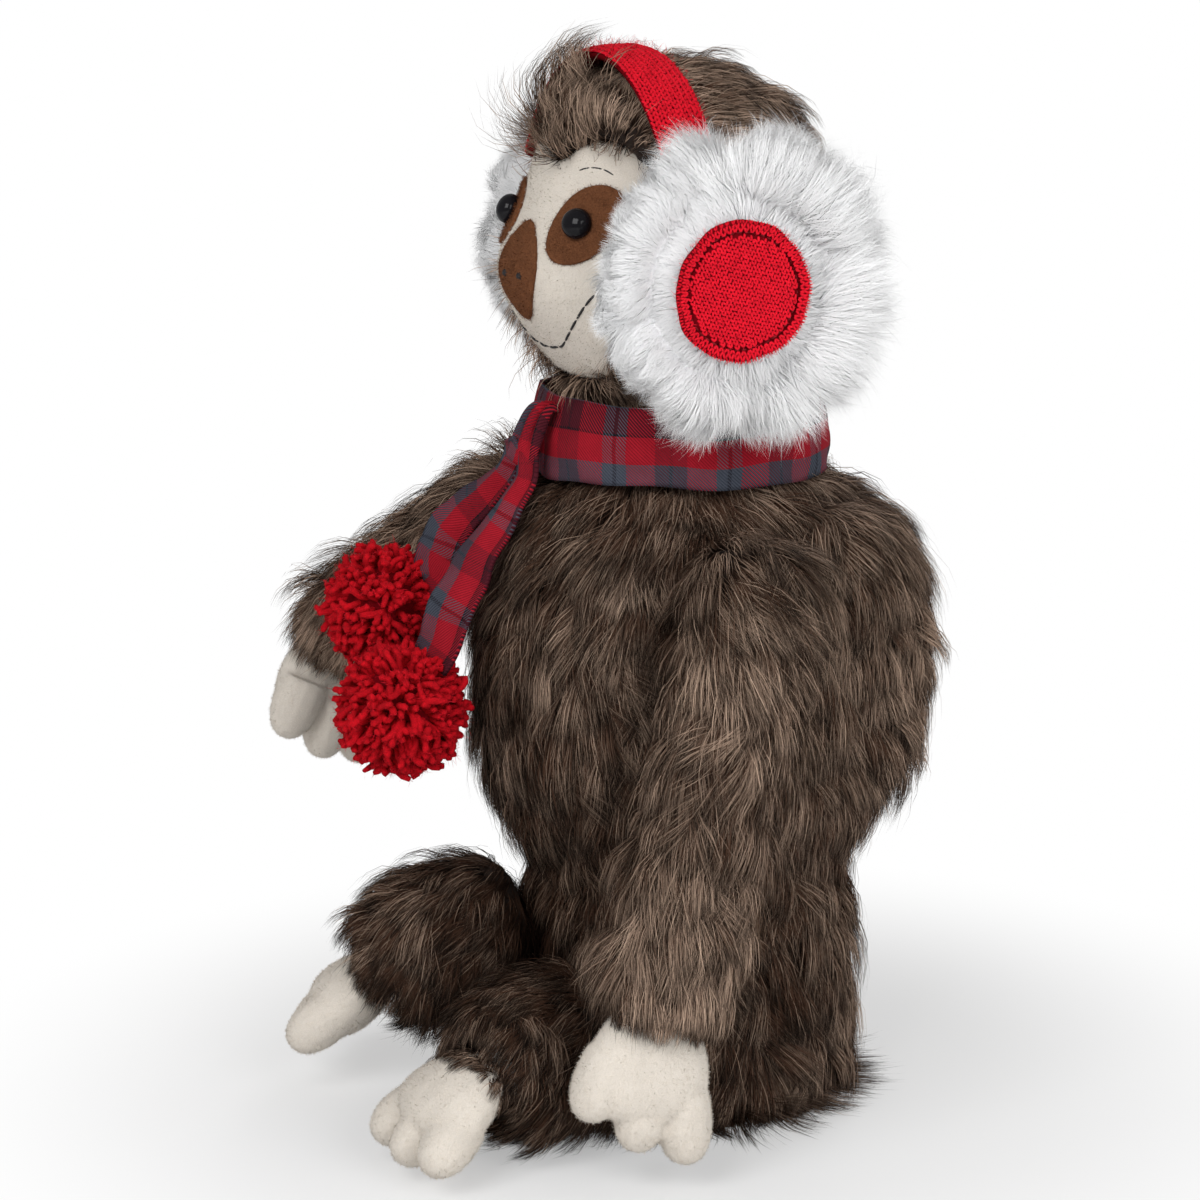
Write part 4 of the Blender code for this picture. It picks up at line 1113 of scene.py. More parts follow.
def curve_line(points):
    """A smooth line through a few places across and up the face."""
    corners = np.array([points[0], *points, points[-1]], float)
    out = [place for i in range(1, len(corners) - 2)
           for place in spline(*corners[i - 1:i + 3], 10)]
    return out + [corners[-1]]


def tube_mesh(paths, radius, sides=8, plies=0, lay=1.0, ply_depth=0.0):
    """Arrays of round closed tubes along many paths.

    Plies groove a tube as twisted yarn is grooved: each makes one turn in a lay.
    """
    points, loops, totals, start = [], [], [], 0
    around = np.arange(sides)
    angles = np.linspace(0.0, 2.0 * np.pi, sides, endpoint=False)
    for path in paths:
        path = np.asarray(path, float)
        rows = len(path)
        ahead = unit(np.gradient(path, axis=0))
        hint = np.array((0.0, 0.0, 1.0) if abs(ahead[0][2]) < 0.9 else (1.0, 0.0, 0.0))
        side_way = unit(np.cross(ahead, hint))
        up_way = np.cross(side_way, ahead)
        run = run_along(path)
        for row in range(rows):
            end = 0.72 if row in (0, rows - 1) else 1.0
            twist = angles * plies - 2.0 * np.pi / lay * run[row]
            size = radius * end * (1.0 - ply_depth * np.abs(np.sin(twist / 2.0)))
            points.append(path[row] + np.outer(np.cos(angles) * size, side_way[row])
                          + np.outer(np.sin(angles) * size, up_way[row]))
        for row in range(rows - 1):
            a = start + row * sides + around
            b = start + row * sides + (around + 1) % sides
            loops.append(np.stack([a, b, b + sides, a + sides], 1).ravel())
            totals += [4] * sides
        loops.append(start + around[::-1])
        loops.append(start + (rows - 1) * sides + around)
        totals += [sides, sides]
        start += rows * sides
    return np.concatenate(points), np.concatenate(loops), totals


def stitched(name, tree, line, material, *, radius, stitch, gap):
    """A sewn line of short stitches that dip into the cloth at their ends."""
    laid = [on_face(tree, x, z) for x, z in line]
    places, outs = np.array([spot for spot, _ in laid]), np.array([out for _, out in laid])
    run = run_along(places)
    rise = np.sin(np.linspace(0.0, np.pi, 7)) * radius * 1.3 - radius * 0.7
    paths, at = [], 0.0
    while at < run[-1] - stitch * 0.4:
        ends = np.linspace(at, min(at + stitch, run[-1]), 7)
        spot = np.stack([np.interp(ends, run, places[:, i]) for i in range(3)], 1)
        out = np.stack([np.interp(ends, run, outs[:, i]) for i in range(3)], 1)
        paths.append(spot + out * rise[:, None])
        at += stitch + gap
    piece = mesh_piece(name, *tube_mesh(paths, radius, 6))
    return show(piece, material, "head", "brown_felt")


class SLOTH_OT_face(bpy.types.Operator):
    """Velour face, felt nose and eye patches, glossy eyes and stitched features"""
    bl_idname = "sloth.face"
    bl_label = "Face"

    def execute(self, context):
        sheet = outer_sheet("face_velour", "face_panel", ("head_stuffing",), 0.0, rounds=5)
        walled(sheet, "Cloth", 1.4 * MM)
        show(sheet, velour(), "head", "cream_velour", ("face_panel",))
        pile("face_pile", sheet, 0.9 * MM, 340, pile_hair("velour_pile", cloth().cream), "head",
             "cream_velour", 81)
        tree = BVHTree.FromObject(sheet, context.evaluated_depsgraph_get())
        felt = grained("felt_cloth", cloth().felt)
        thread = grained("black_thread", cloth().thread)
        glossy, shiny_tree, shader = new_material("eye_gloss", 0.10, Coat_Weight=0.0,
                                                  Specular_IOR_Level=0.17)
        shine = use_group(shiny_tree, grain_group("Cloth grain"), Fine=400.0, Broad=90.0,
                          Contrast=0.5, Base=cloth().eye, Deep=(0.012, 0.010, 0.012))
        feed(shiny_tree, shader.inputs["Base Color"], shine["Color"])
        self.nose(tree, felt, thread)
        for label, side in SIDES.items():
            self.eye_patch(tree, felt, side, label)
            self.eye(glossy, label)
        low, high = box_of("face_panel")
        half, tall, centre = (high - low)[0] / 2.0, (high - low)[2] / 2.0, (high + low)[2] / 2.0

        def laid_out(shares, side=1.0):
            return curve_line([(side * x * half * FEATURE_SPAN, centre + z * tall)
                               for x, z in shares])

        stitched("smile", tree, laid_out(SMILE_SHARES), thread, radius=0.42 * MM,
                 stitch=6.2 * MM, gap=0.25 * MM)
        for label, side in SIDES.items():
            stitched("brow_" + label, tree, laid_out(BROW_SHARES, side), thread,
                     radius=0.24 * MM, stitch=4.2 * MM, gap=0.5 * MM)
        return {'FINISHED'}

    def nose(self, tree, felt, thread):
        """The drop-shaped felt nose with its two nostril knots of three stitches each."""
        low, high = box_of("nose_patch")
        middle = (0.0, ((low + high) / 2.0)[2])
        outline = closed_curve(NOSE_SHARES, (high - low)[0] / 2.0, (high - low)[2] / 1.05, middle)
        nose = felt_piece("nose", tree, outline, middle, felt, ("nose_patch",))
        pile("nose_pile", nose, 1.3 * MM, 400, pile_hair("felt_pile", cloth().felt), "head",
             "brown_felt", 82)
        paths = []
        for side in (-4.5, 4.5):
            spot, out = on_face(tree, side * MM, middle[1] - 1.0 * MM, FELT_THICKNESS)
            for lean in (0.0, 1.1, 2.2):
                paths.append([spot + out * z * MM
                              + Vector((x * math.cos(lean), 0, x * math.sin(lean))) * MM
                              for x, z in KNOT_SHAPE])
        piece = mesh_piece("nostrils", *tube_mesh(paths, 0.55 * MM, 8))
        show(piece, thread, "head", "brown_felt")

    def eye_patch(self, tree, felt, side, label):
        """An oval of felt that leans outward, under one eye."""
        low, high = box_of("eye_patch_" + label)
        size = (high - low) / 2.0
        wide, tall = size[0] * PATCH_WIDTH, size[2] * PATCH_HEIGHTS[label]
        middle = (low + high) / 2.0
        middle[0] += side * 1.0 * MM
        lean, outline = PATCH_LEAN * side, []
        for angle in np.linspace(0.0, 2.0 * np.pi, 40, endpoint=False):
            x, z = wide * math.cos(angle), tall * math.sin(angle)
            outline.append((middle[0] + x * math.cos(lean) + z * math.sin(lean),
                            middle[2] + z * math.cos(lean) - x * math.sin(lean)))
        patch = felt_piece("eye_felt_" + label, tree, outline, (middle[0], middle[2]), felt,
                           ("eye_patch_" + label,))
        pile("eye_pile_" + label, patch, 1.3 * MM, 400, pile_hair("felt_pile", cloth().felt),
             "head", "brown_felt", 83)

    def eye(self, glossy, label):
        """A domed eye on its shank, which reaches into the washer behind the face."""
        washer = middle_of("eye_washer_" + label)
        corners, _ = cad_arrays("eye_" + label)
        tip = corners[np.argmax(np.linalg.norm(corners - washer, axis=1))]
        axis = unit(tip - washer)
        along = (corners - washer) @ axis
        radius = np.linalg.norm(corners - washer - along[:, None] * axis, axis=1).max()
        turn = Vector(axis).to_track_quat('Z', 'Y').to_matrix().to_4x4()
        dome = bmesh.new()
        bmesh.ops.create_uvsphere(dome, u_segments=40, v_segments=24, radius=radius)
        place = Matrix.Translation(tip - axis * radius * EYE_DEPTH) @ turn
        bmesh.ops.transform(dome, matrix=place @ Matrix.Diagonal((1.0, 1.0, EYE_DEPTH, 1.0)),
                            verts=dome.verts)
        show(bmesh_piece("eye_dome_" + label, dome), glossy, "head", "eye_plastic",
             ("eye_" + label,))
        shank = bmesh.new()
        bmesh.ops.create_cone(shank, cap_ends=True, segments=16, radius1=1.6 * MM,
                              radius2=1.6 * MM, depth=float(np.linalg.norm(tip - washer)))
        place = Matrix.Translation((tip + washer) / 2.0 - axis * 2 * MM) @ turn
        bmesh.ops.transform(shank, matrix=place, verts=shank.verts)
        show(bmesh_piece("eye_shank_" + label, shank), glossy, "head", "eye_plastic")


# Hands and feet

class SLOTH_OT_paws(bpy.types.Operator):
    """Velour hands and feet with rounded digits"""
    bl_idname = "sloth.paws"
    bl_label = "Hands and feet"

    def execute(self, context):
        for kind, limb, move in (("hand", "arm", "swing"), ("foot", "leg", "fold")):
            for side in SIDES:
                body, solid = f"{limb}_{side}", f"{kind}_{side}"
                piece = bpy.data.objects.new(f"{kind}_velour_{side}",
                                             frame["nodes"][solid].data.copy())
                show(piece, None, None)
                even = piece.modifiers.new("Even", 'REMESH')
                even.mode = 'VOXEL'
                even.voxel_size = 0.9 * MM
                calm = piece.modifiers.new("Calm", 'SMOOTH')
                calm.factor = 0.5
                calm.iterations = 9
                shaped = piece.evaluated_get(context.evaluated_depsgraph_get())
                smooth = bpy.data.meshes.new_from_object(shaped)
                piece.modifiers.clear()
                piece.data = smooth
                smooth.shade_smooth()
                show(piece, velour(), body, "cream_velour", (solid,))
                pile(f"{kind}_pile_{side}", piece, 1.0 * MM, 320,
                     pile_hair("velour_pile", cloth().cream), body, "cream_velour", 85)
                self.cuff(piece, solid, body, joint_place(f"{body}_{move}"))
        return {'FINISHED'}

    def cuff(self, piece, solid, body, joint):
        """Fur that falls over the seam where a hand or a foot leaves its limb."""
        skin = body.replace("_", "_skin_")
        middle = middle_of(solid)
        ahead = unit(middle - joint)
        tree, corners = tree_of(skin), cad_arrays(skin)[0]
        rim = ((corners - middle) @ ahead).max()

        def keep(points, normals):
            near = np.array([tree.find_nearest(point)[3] for point in points.tolist()])
            behind = (points - middle) @ ahead < rim - 1.0 * MM
            return (near < near.min() + 3.0 * MM) | (behind & (near < 14.0 * MM))

        def flow(points):
            return ahead + DOWN * 0.3 + 0 * points

        grow_coat(f"cuff_fur_{solid}", piece, flow, evenly(9.0 * MM), evenly(0.52), body, 90,
                  tint=evenly(0.20), keep=keep, density=1.4)


# Knit

LEG_SIDES, LEG_ROWS = 6, 5
LEG_LEAN = math.radians(24.0)
# Shares of a stitch's width: how far its legs lie apart, stray and how thick they are
LEG_APART, LEG_STRAY, LEG_THICK = 0.25, 0.035, 0.47
LEG_FLATNESS, STITCH_OVERLAP = 0.9, 1.42


def stitch_shape():
    """One leg of a knit stitch as a plump spindle: unit length along Y, unit width."""
    points, loops, totals = [], [], []
    for row in range(LEG_ROWS):
        share = (row + 0.5) / LEG_ROWS
        swell = math.sin(math.pi * share) ** 0.45
        for side in range(LEG_SIDES):
            angle = 2.0 * math.pi * side / LEG_SIDES
            x, z = math.cos(angle), math.sin(angle)
            points.append((0.5 * swell * x, share - 0.5, 0.5 * swell * z))
    for row in range(0, (LEG_ROWS - 1) * LEG_SIDES, LEG_SIDES):
        for side in range(LEG_SIDES):
            after = (side + 1) % LEG_SIDES
            loops += [row + side, row + after, row + LEG_SIDES + after, row + LEG_SIDES + side]
            totals.append(4)
    last = (LEG_ROWS - 1) * LEG_SIDES
    loops += [*range(LEG_SIDES), *(last + side for side in reversed(range(LEG_SIDES)))]
    totals += [LEG_SIDES, LEG_SIDES]
    return np.array(points), np.array(loops), totals


def knitted(name, places, alongs, outs, size, rng):
    """Knit relief: at each place a V of two plump legs, lying along a direction on a surface."""
    leg, leg_loops, leg_totals = stitch_shape()
    wide, tall = size
    points, loops, start = [], [], 0
    alongs, outs = unit(alongs), unit(outs)
    for hand in (-1.0, 1.0):
        lean = LEG_LEAN * hand + rng.normal(0.0, 0.06, len(places))
        across = np.cross(alongs, outs)
        way = alongs * np.cos(lean)[:, None] + across * np.sin(lean)[:, None]
        aside = np.cross(way, outs)
        shift = rng.normal(0.0, LEG_STRAY * wide, places.shape)
        middle = places + across * (LEG_APART * wide * hand) + shift
        thick = wide * LEG_THICK * rng.uniform(0.88, 1.12, len(places))
        shape = (leg[None, :, 0:1] * thick[:, None, None] * aside[:, None, :]
                 + leg[None, :, 1:2] * (tall * STITCH_OVERLAP) * way[:, None, :]
                 + leg[None, :, 2:3] * thick[:, None, None] * LEG_FLATNESS * outs[:, None, :])
        points.append((middle[:, None, :] + shape).reshape(-1, 3))
        firsts = (np.arange(len(places)) * len(leg))[:, None]
        loops.append((leg_loops[None, :] + firsts + start).ravel())
        start += len(places) * len(leg)
    totals = leg_totals * (2 * len(places))
    piece = mesh_piece(name, np.concatenate(points), np.concatenate(loops), totals)
    return show(piece, knit_yarn(), "head", "red_knit")


def red_fuzz(name, points, outs, reach, width, paleness, rng, body="head", slot="red_knit"):
    """Loose red fibres, as pale as the two limits allow."""
    tints = rng.uniform(*paleness, len(points))
    fuzz(name, points, outs, reach, width, tints, rng, red_fibre(), body, slot)


BAND_SPAN_SHARE = 0.764
BAND_END_SHARE = 0.457
BAND_THICKNESS = 3.6 * MM
BAND_COLUMNS = 9
BAND_ROW = 1.75 * MM
BAND_FIBRES = 2600


class SLOTH_OT_headband(bpy.types.Operator):
    """Knitted band over the crown"""
    bl_idname = "sloth.headband"
    bl_label = "Headband"

    def execute(self, context):
        rng = np.random.default_rng(SEED + 60)
        low, high = box_of("headband")
        centre = middle_of("muff_left")[2]
        rise = high[2] - centre
        half_span = rise * BAND_SPAN_SHARE
        line, wide = (low[1] + high[1]) / 2.0, high[1] - low[1]
        start = math.asin(BAND_END_SHARE)
        sweep = math.pi - 2.0 * start

        def place(angle, share, depth):
            """A point of the band: angle round the arch, share across it, depth under its face."""
            crown = depth + 1.5 * MM * (2.0 * abs(share)) ** 3
            return np.array(((half_span - crown) * math.cos(angle), line + share * wide,
                             centre + (rise - crown) * math.sin(angle)))

        build = bmesh.new()
        upper = [(share, 1.35 * MM) for share in np.linspace(-0.5, 0.5, 9)]
        section = [(-0.44, BAND_THICKNESS), *upper, (0.44, BAND_THICKNESS)]
        rows = [[build.verts.new(place(angle, share, depth)) for share, depth in section]
                for angle in np.linspace(start, math.pi - start, 49)]
        for near, far in zip(rows, rows[1:]):
            for side in range(len(section)):
                after = (side + 1) % len(section)
                build.faces.new((near[side], near[after], far[after], far[side]))
        build.faces.new(rows[0])
        build.faces.new(list(reversed(rows[-1])))
        bmesh.ops.recalc_face_normals(build, faces=build.faces)
        # The band's base is painted dark as the shade between its stitches
        show(bmesh_piece("band_base", build), shaded_knit(), "head", "red_knit", ("headband",))
        count = int(sweep * (rise + half_span) / 2.0 / BAND_ROW)
        places, alongs, outs = [], [], []
        for column in range(BAND_COLUMNS):
            share = (column + 0.5) / BAND_COLUMNS - 0.5
            for row in range(count):
                angle = start + sweep * (row + 0.5) / count
                here = place(angle, share, 0.5 * MM)
                places.append(here)
                alongs.append(place(angle + 0.01, share, 0.5 * MM) - here)
                outs.append(np.array((math.cos(angle), 0.9 * share, math.sin(angle))))
        places, alongs, outs = np.array(places), np.array(alongs), unit(np.array(outs))
        knitted("band_knit", places, alongs, outs, (wide / BAND_COLUMNS, BAND_ROW), rng)
        chosen = rng.integers(0, len(places), BAND_FIBRES)
        spread = rng.normal(0.0, 0.7 * MM, (BAND_FIBRES, 3))
        spots = places[chosen] + spread + outs[chosen] * 0.6 * MM
        red_fuzz("band_fuzz", spots, outs[chosen], 2.6 * MM, 0.09 * MM, (0.3, 0.95), rng)
        return {'FINISHED'}


MUFF_INSET = 7.5 * MM
MUFF_LOCK = 3.4 * MM
MUFF_HALF = 26 * MM


def across_axis(points, centre, axis):
    """The part of the way from a centre to each point that lies across an axis."""
    way = points - centre
    return way - (way @ axis)[:, None] * axis


def fluff_tint(roots, owner, rng, middle):
    """White hair is even: a little variation by lock and by hair."""
    locks = rng.normal(0.0, 0.10, owner.max() + 1)[owner]
    return np.clip(middle(roots) + locks + rng.normal(0.0, 0.16, len(roots)), 0.02, 0.99)


class SLOTH_OT_earmuffs(bpy.types.Operator):
    """White fluffy earmuffs with knitted discs"""
    bl_idname = "sloth.earmuffs"
    bl_label = "Earmuffs"

    def execute(self, context):
        settings = fur()
        lining = grained("fluff_backing", settings.white_root)
        for number, side in enumerate(SIDES):
            rng = np.random.default_rng(SEED + 70 + number)
            centre, disc = middle_of("muff_" + side), middle_of("muff_disc_" + side)
            axis = unit(disc - centre)
            sheet = backing("muff_backing_" + side, "muff_" + side, ("muff_filling_" + side,),
                            "head", MUFF_INSET, "white_fluff", lining, rounds=6)

            def facing(points):
                """How far a place lies on the side of the face."""
                return smooth_step((centre[1] - points[:, 1]) / MUFF_HALF, 0.15, 0.95)

            def flow(points):
                return unit(across_axis(points, centre, axis)) + axis * 0.10

            def lift(points):
                radial = np.linalg.norm(across_axis(points, centre, axis), axis=1)
                return 0.60 + 0.34 * smooth_step(radial, 0.014, 0.038) - 0.45 * facing(points)

            def reach(points):
                """Short at the face, long behind, and uneven round the disc."""
                back = smooth_step((points[:, 1] - centre[1]) / MUFF_HALF, 0.2, 0.9)
                radial = np.linalg.norm(across_axis(points, centre, axis), axis=1)
                near_disc = 1.0 - smooth_step(radial, 0.022, 0.034)
                inner = rng.uniform(0.0, 0.75, len(points)) * near_disc
                full = settings.muff_length * (1.0 - 0.50 * facing(points) + 0.25 * back)
                return full * (1.0 - inner)

            def keep(points, normals):
                return (normals @ axis > -0.75) & ((points - centre) @ axis > -0.012)

            grow_coat("muff_fluff_" + side, sheet, flow, reach, lift, "head", 40 + number,
                      tint=evenly(0.84), tint_by=fluff_tint, keep=keep, density=2.9, width=0.60,
                      material=white_hair(), slot="white_fluff", lock_size=MUFF_LOCK, tousle=0.60,
                      gather=0.20, droop=0.10, press=0.10, stray=0.16,
                      avoid=("muff_disc_" + side,), gap=1.0 * MM)
            MuffDisc(side, disc, axis, rng).make()
        return {'FINISHED'}


DISC_GROOVE_SHARE = 0.83
DISC_RIM_SHARE = 0.975
DISC_SIDES = 64
DISC_WOBBLE = ((3, 0.016), (7, 0.010), (12, 0.008))
DISC_GAUGE, DISC_ROW, DISC_TILT = 1.9 * MM, 1.45 * MM, math.radians(24.0)
DISC_STITCHES = 44
DISC_FIBRES = (1500, 1300)


class MuffDisc:
    """A knitted disc with a raised rim and a stitched groove inside it."""

    def __init__(self, side, centre, axis, rng):
        self.side, self.centre, self.axis, self.rng = side, centre, axis, rng
        corners, _ = cad_arrays("muff_disc_" + side)
        self.outer = np.linalg.norm(corners - centre, axis=1).max()
        self.face = ((corners - centre) @ axis).max()
        self.up = unit(np.array((0.0, 0.0, 1.0)) - axis * axis[2])
        self.aside = np.cross(self.up, axis)
        self.groove, self.rim = self.outer * DISC_GROOVE_SHARE, self.outer * DISC_RIM_SHARE
        self.roll = (self.groove + self.rim) / 2.0
        turns = np.arange(DISC_SIDES)
        self.wobble = 1.0 + sum(size * np.sin(turns * waves * 2 * np.pi / DISC_SIDES
                                              + rng.uniform(0, 6)) for waves, size in DISC_WOBBLE)

    def make(self):
        self.base()
        places = self.knit()
        self.seam()
        self.fibres(places)

    def height(self, radius):
        """How high the disc stands at a radius: a low dome, a groove and a rolled rim."""
        dome = 1.3 * MM * (1.0 - (radius / self.outer) ** 2)
        seam = 1.9 * MM * math.exp(-((radius - self.groove) / (0.8 * MM)) ** 2)
        edge = 0.9 * MM * math.exp(-((radius - self.roll) / (1.5 * MM)) ** 2)
        return self.face - 0.4 * MM + dome - seam + edge

    def way(self, angle):
        return self.aside * math.cos(angle) + self.up * math.sin(angle)

    def base(self):
        """The ground under the stitches, painted dark as their shade, with an uneven edge."""
        build = bmesh.new()
        hub = build.verts.new(self.centre + self.axis * self.height(0.0))
        rows = [(radius, self.height(radius)) for radius in np.linspace(0.0, self.rim, 26)[1:]]
        rows.append((self.rim + 0.5 * MM, self.height(self.rim) - 0.9 * MM))
        rows.append((self.rim, self.height(self.rim) - 1.9 * MM))
        rings = []
        for radius, lift in rows:
            ring = []
            for step in range(DISC_SIDES):
                spot = self.centre + self.axis * lift
                way = self.way(2.0 * math.pi * step / DISC_SIDES)
                ring.append(build.verts.new(spot + way * radius * self.wobble[step]))
            rings.append(ring)
        crowned(build, hub, rings)
        build.faces.new(rings[-1])
        bmesh.ops.recalc_face_normals(build, faces=build.faces)
        show(bmesh_piece("disc_base_" + self.side, build), shaded_knit(), "head", "red_knit",
             ("muff_disc_" + self.side,))

    def knit(self):
        """Slanting rows of stitches inside the groove and round rows on the rim."""
        centre, axis, aside, up, rng = self.centre, self.axis, self.aside, self.up, self.rng
        slant, level = math.sin(DISC_TILT), math.cos(DISC_TILT)
        places = []
        for column in np.arange(-self.outer, self.outer, DISC_GAUGE):
            for row in np.arange(-self.outer, self.outer, DISC_ROW):
                x, z = column * level - row * slant, column * slant + row * level
                radius = math.hypot(x, z)
                if radius < self.groove - 0.7 * MM:
                    lift = self.height(radius) + 0.25 * MM
                    places.append(centre + axis * lift + aside * x + up * z)
        aheads = [-aside * slant + up * level] * len(places)
        outs = [axis] * len(places)
        for radius in np.arange(self.groove + 0.9 * MM, self.rim + 0.5 * MM, 1.1 * MM):
            around = int(2.0 * math.pi * radius / DISC_GAUGE)
            for turn in np.arange(around) * 2.0 * math.pi / around + rng.uniform(0.0, 1.0):
                way = self.way(turn)
                step = int(turn % (2.0 * math.pi) / (2.0 * math.pi) * DISC_SIDES) % DISC_SIDES
                places.append(centre + axis * (self.height(radius) + 0.2 * MM)
                              + way * radius * self.wobble[step])
                aheads.append(way + axis * 0.2)
                outs.append(axis + way * 0.5 * (radius - self.roll) / MM)
        places = np.array(places)
        knitted("disc_knit_" + self.side, places, np.array(aheads), np.array(outs),
                (DISC_GAUGE, DISC_ROW), rng)
        return places

    def seam(self):
        """A ring of dark stitches in the groove."""
        ring = []
        for stitch in range(DISC_STITCHES):
            angle = 2.0 * math.pi * stitch / DISC_STITCHES
            sweep = [angle + share * 2.0 * math.pi / DISC_STITCHES * 0.8
                     for share in (0.0, 0.33, 0.66, 1.0)]
            ring.append([self.centre + self.axis * (self.height(self.groove) + lift * MM)
                         + self.way(turn) * self.groove
                         for turn, lift in zip(sweep, (-0.1, 0.35, 0.35, -0.1))])
        sewn = grained("disc_thread", times(cloth().knit, 0.38))
        piece = mesh_piece("disc_stitch_" + self.side, *tube_mesh(ring, 0.42 * MM, 6))
        show(piece, sewn, "head", "red_knit")

    def fibres(self, places):
        """Loose fibres on the rim and over the knit."""
        axis, rng = self.axis, self.rng
        on_rim, on_knit = DISC_FIBRES
        turns = rng.uniform(0.0, 2.0 * np.pi, on_rim)
        radii = rng.uniform(self.groove + 1.0 * MM, self.rim + 0.8 * MM, on_rim)
        ways = np.outer(np.cos(turns), self.aside) + np.outer(np.sin(turns), self.up)
        spots = self.centre + axis * (self.face - 0.4 * MM) + ways * radii[:, None]
        spots = np.concatenate([spots, places[rng.integers(0, len(places), on_knit)]])
        outs = np.concatenate([unit(ways + axis * 0.7), np.tile(axis, (on_knit, 1))])
        red_fuzz("disc_fuzz_" + self.side, spots, outs, 2.3 * MM, 0.10 * MM, (0.3, 0.95), rng)


# Scarf

UV_SPAN = 0.36
TWILL_PITCH = 1.15 * MM
WARP_STRIPES = (
    ("red", 9.2 * MM), ("wine", 4.4 * MM), ("black", 1.0 * MM), ("wine", 4.4 * MM),
    ("red", 9.2 * MM), ("slate", 3.6 * MM), ("black", 1.2 * MM), ("slate", 3.4 * MM))
WEFT_STRIPES = (
    ("slate", 7.4 * MM), ("red", 9.0 * MM), ("black", 0.8 * MM), ("wine", 8.4 * MM),
    ("slate", 3.2 * MM))


def thread_colour(tree, line, stripes):
    """Colour of the threads that lie at a distance across their stripes."""
    repeat = sum(wide for _, wide in stripes)
    place = maths(tree, 'FRACT', maths(tree, 'DIVIDE', line, repeat))
    ramp = node(tree, "ShaderNodeValToRGB", {0: place})
    ramp.color_ramp.interpolation = 'CONSTANT'
    at, elements = 0.0, ramp.color_ramp.elements
    elements.remove(elements[1])
    for number, (name, wide) in enumerate(stripes):
        element = elements[0] if number == 0 else elements.new(at / repeat)
        element.color = (*getattr(cloth(), "plaid_" + name), 1.0)
        at += wide
    return ramp.outputs["Color"]


@made_once("materials")
def plaid(name):
    """Generic checked twill: each thread shows its own stripe where it passes over."""
    made, tree, shader = new_material(name, 0.9, Specular_IOR_Level=0.12)
    parts = cloth_map(tree)
    along, across = (maths(tree, 'MULTIPLY', parts[way], UV_SPAN) for way in ("X", "Y"))
    warp = thread_colour(tree, along, WARP_STRIPES)
    weft = thread_colour(tree, across, WEFT_STRIPES)
    lines = maths(tree, 'DIVIDE', maths(tree, 'ADD', along, across), TWILL_PITCH)
    diagonal = maths(tree, 'FRACT', lines)
    rib = maths(tree, 'PINGPONG', maths(tree, 'ADD', diagonal, 0.25), 0.5)
    woven = blended(tree, eased(tree, diagonal, 0.28, 0.40), warp, weft)
    grain = use_group(tree, grain_group("Cloth grain"), Fine=1800.0, Broad=140.0, Contrast=0.45,
                      Base=(1, 1, 1), Deep=(0.55, 0.55, 0.57))
    shaded = blended(tree, 1.0, woven, grain["Color"], blend_type='MULTIPLY')
    # Painted shade in the grooves between the twill's ribs
    groove_shade = blended(tree, eased(tree, rib, 0.02, 0.24), (0.42, 0.42, 0.45), (1.0, 1.0, 1.0))
    ribbed = blended(tree, 1.0, shaded, groove_shade, blend_type='MULTIPLY')
    feed(tree, shader.inputs["Base Color"], ribbed)
    rise_from(tree, shader, rib, 0.75, 0.30 * MM)
    return made


def strip(name, middles, acrosses, outs, wide, body, replaces, *, thick, puff, cells, cross,
          shift=0.0):
    """A folded strip of cloth along a line, puffed, with its own cloth map of real size."""
    rows = len(middles)
    run = run_along(middles) + shift
    top, spots = [], []
    for row in range(rows):
        for share in np.linspace(-0.5, 0.5, cells):
            lift = puff(row / (rows - 1), share)
            top.append(middles[row] + acrosses[row] * share * wide[row] + outs[row] * lift)
            spots.append((run[row] / UV_SPAN, (share + 0.5) * cross / UV_SPAN))
    loops = [row * cells + cell + corner for row in range(rows - 1) for cell in range(cells - 1)
             for corner in (0, cells, cells + 1, 1)]
    totals = [4] * (len(loops) // 4)
    piece = mesh_piece(name, np.array(top), loops, totals, np.array(spots))
    walled(piece, "Fold", thick, 0.0)
    return show(piece, plaid("plaid_twill"), body, "plaid_cloth", replaces)


TAIL_SPREAD = 0.0200
CROSSING_SPREAD = 0.0105
CLOTH_WAY = (1.0, 0.28, 0.0)
BAND_STEPS = 128
CROSSING_PATH = ((4.5, 6.0, 3.0), (4.2, 3.2, 4.2), (3.4, 0.8, 2.4), (2.6, -0.8, -1.0),
                 (1.4, -2.2, -5.4), (0.2, -3.2, -10.0), (-0.9, -4.0, -14.5))
TAIL_START = (0.4, -2.9, -9.0)
# How far along the check each piece starts
CROSSING_SHIFT, TAIL_SHIFTS = 0.004, {"front": 0.045, "back": 0.012}


def across_line(line):
    """Which way a hanging strip lies across its line, and which way it faces."""
    ahead = unit(np.gradient(line, axis=0))
    lying = unit(np.array(CLOTH_WAY))
    across = unit(lying - ahead * (ahead @ lying)[:, None])
    outs = unit(np.cross(ahead, across))
    return across, -outs if outs[len(outs) // 2][1] > 0.0 else outs


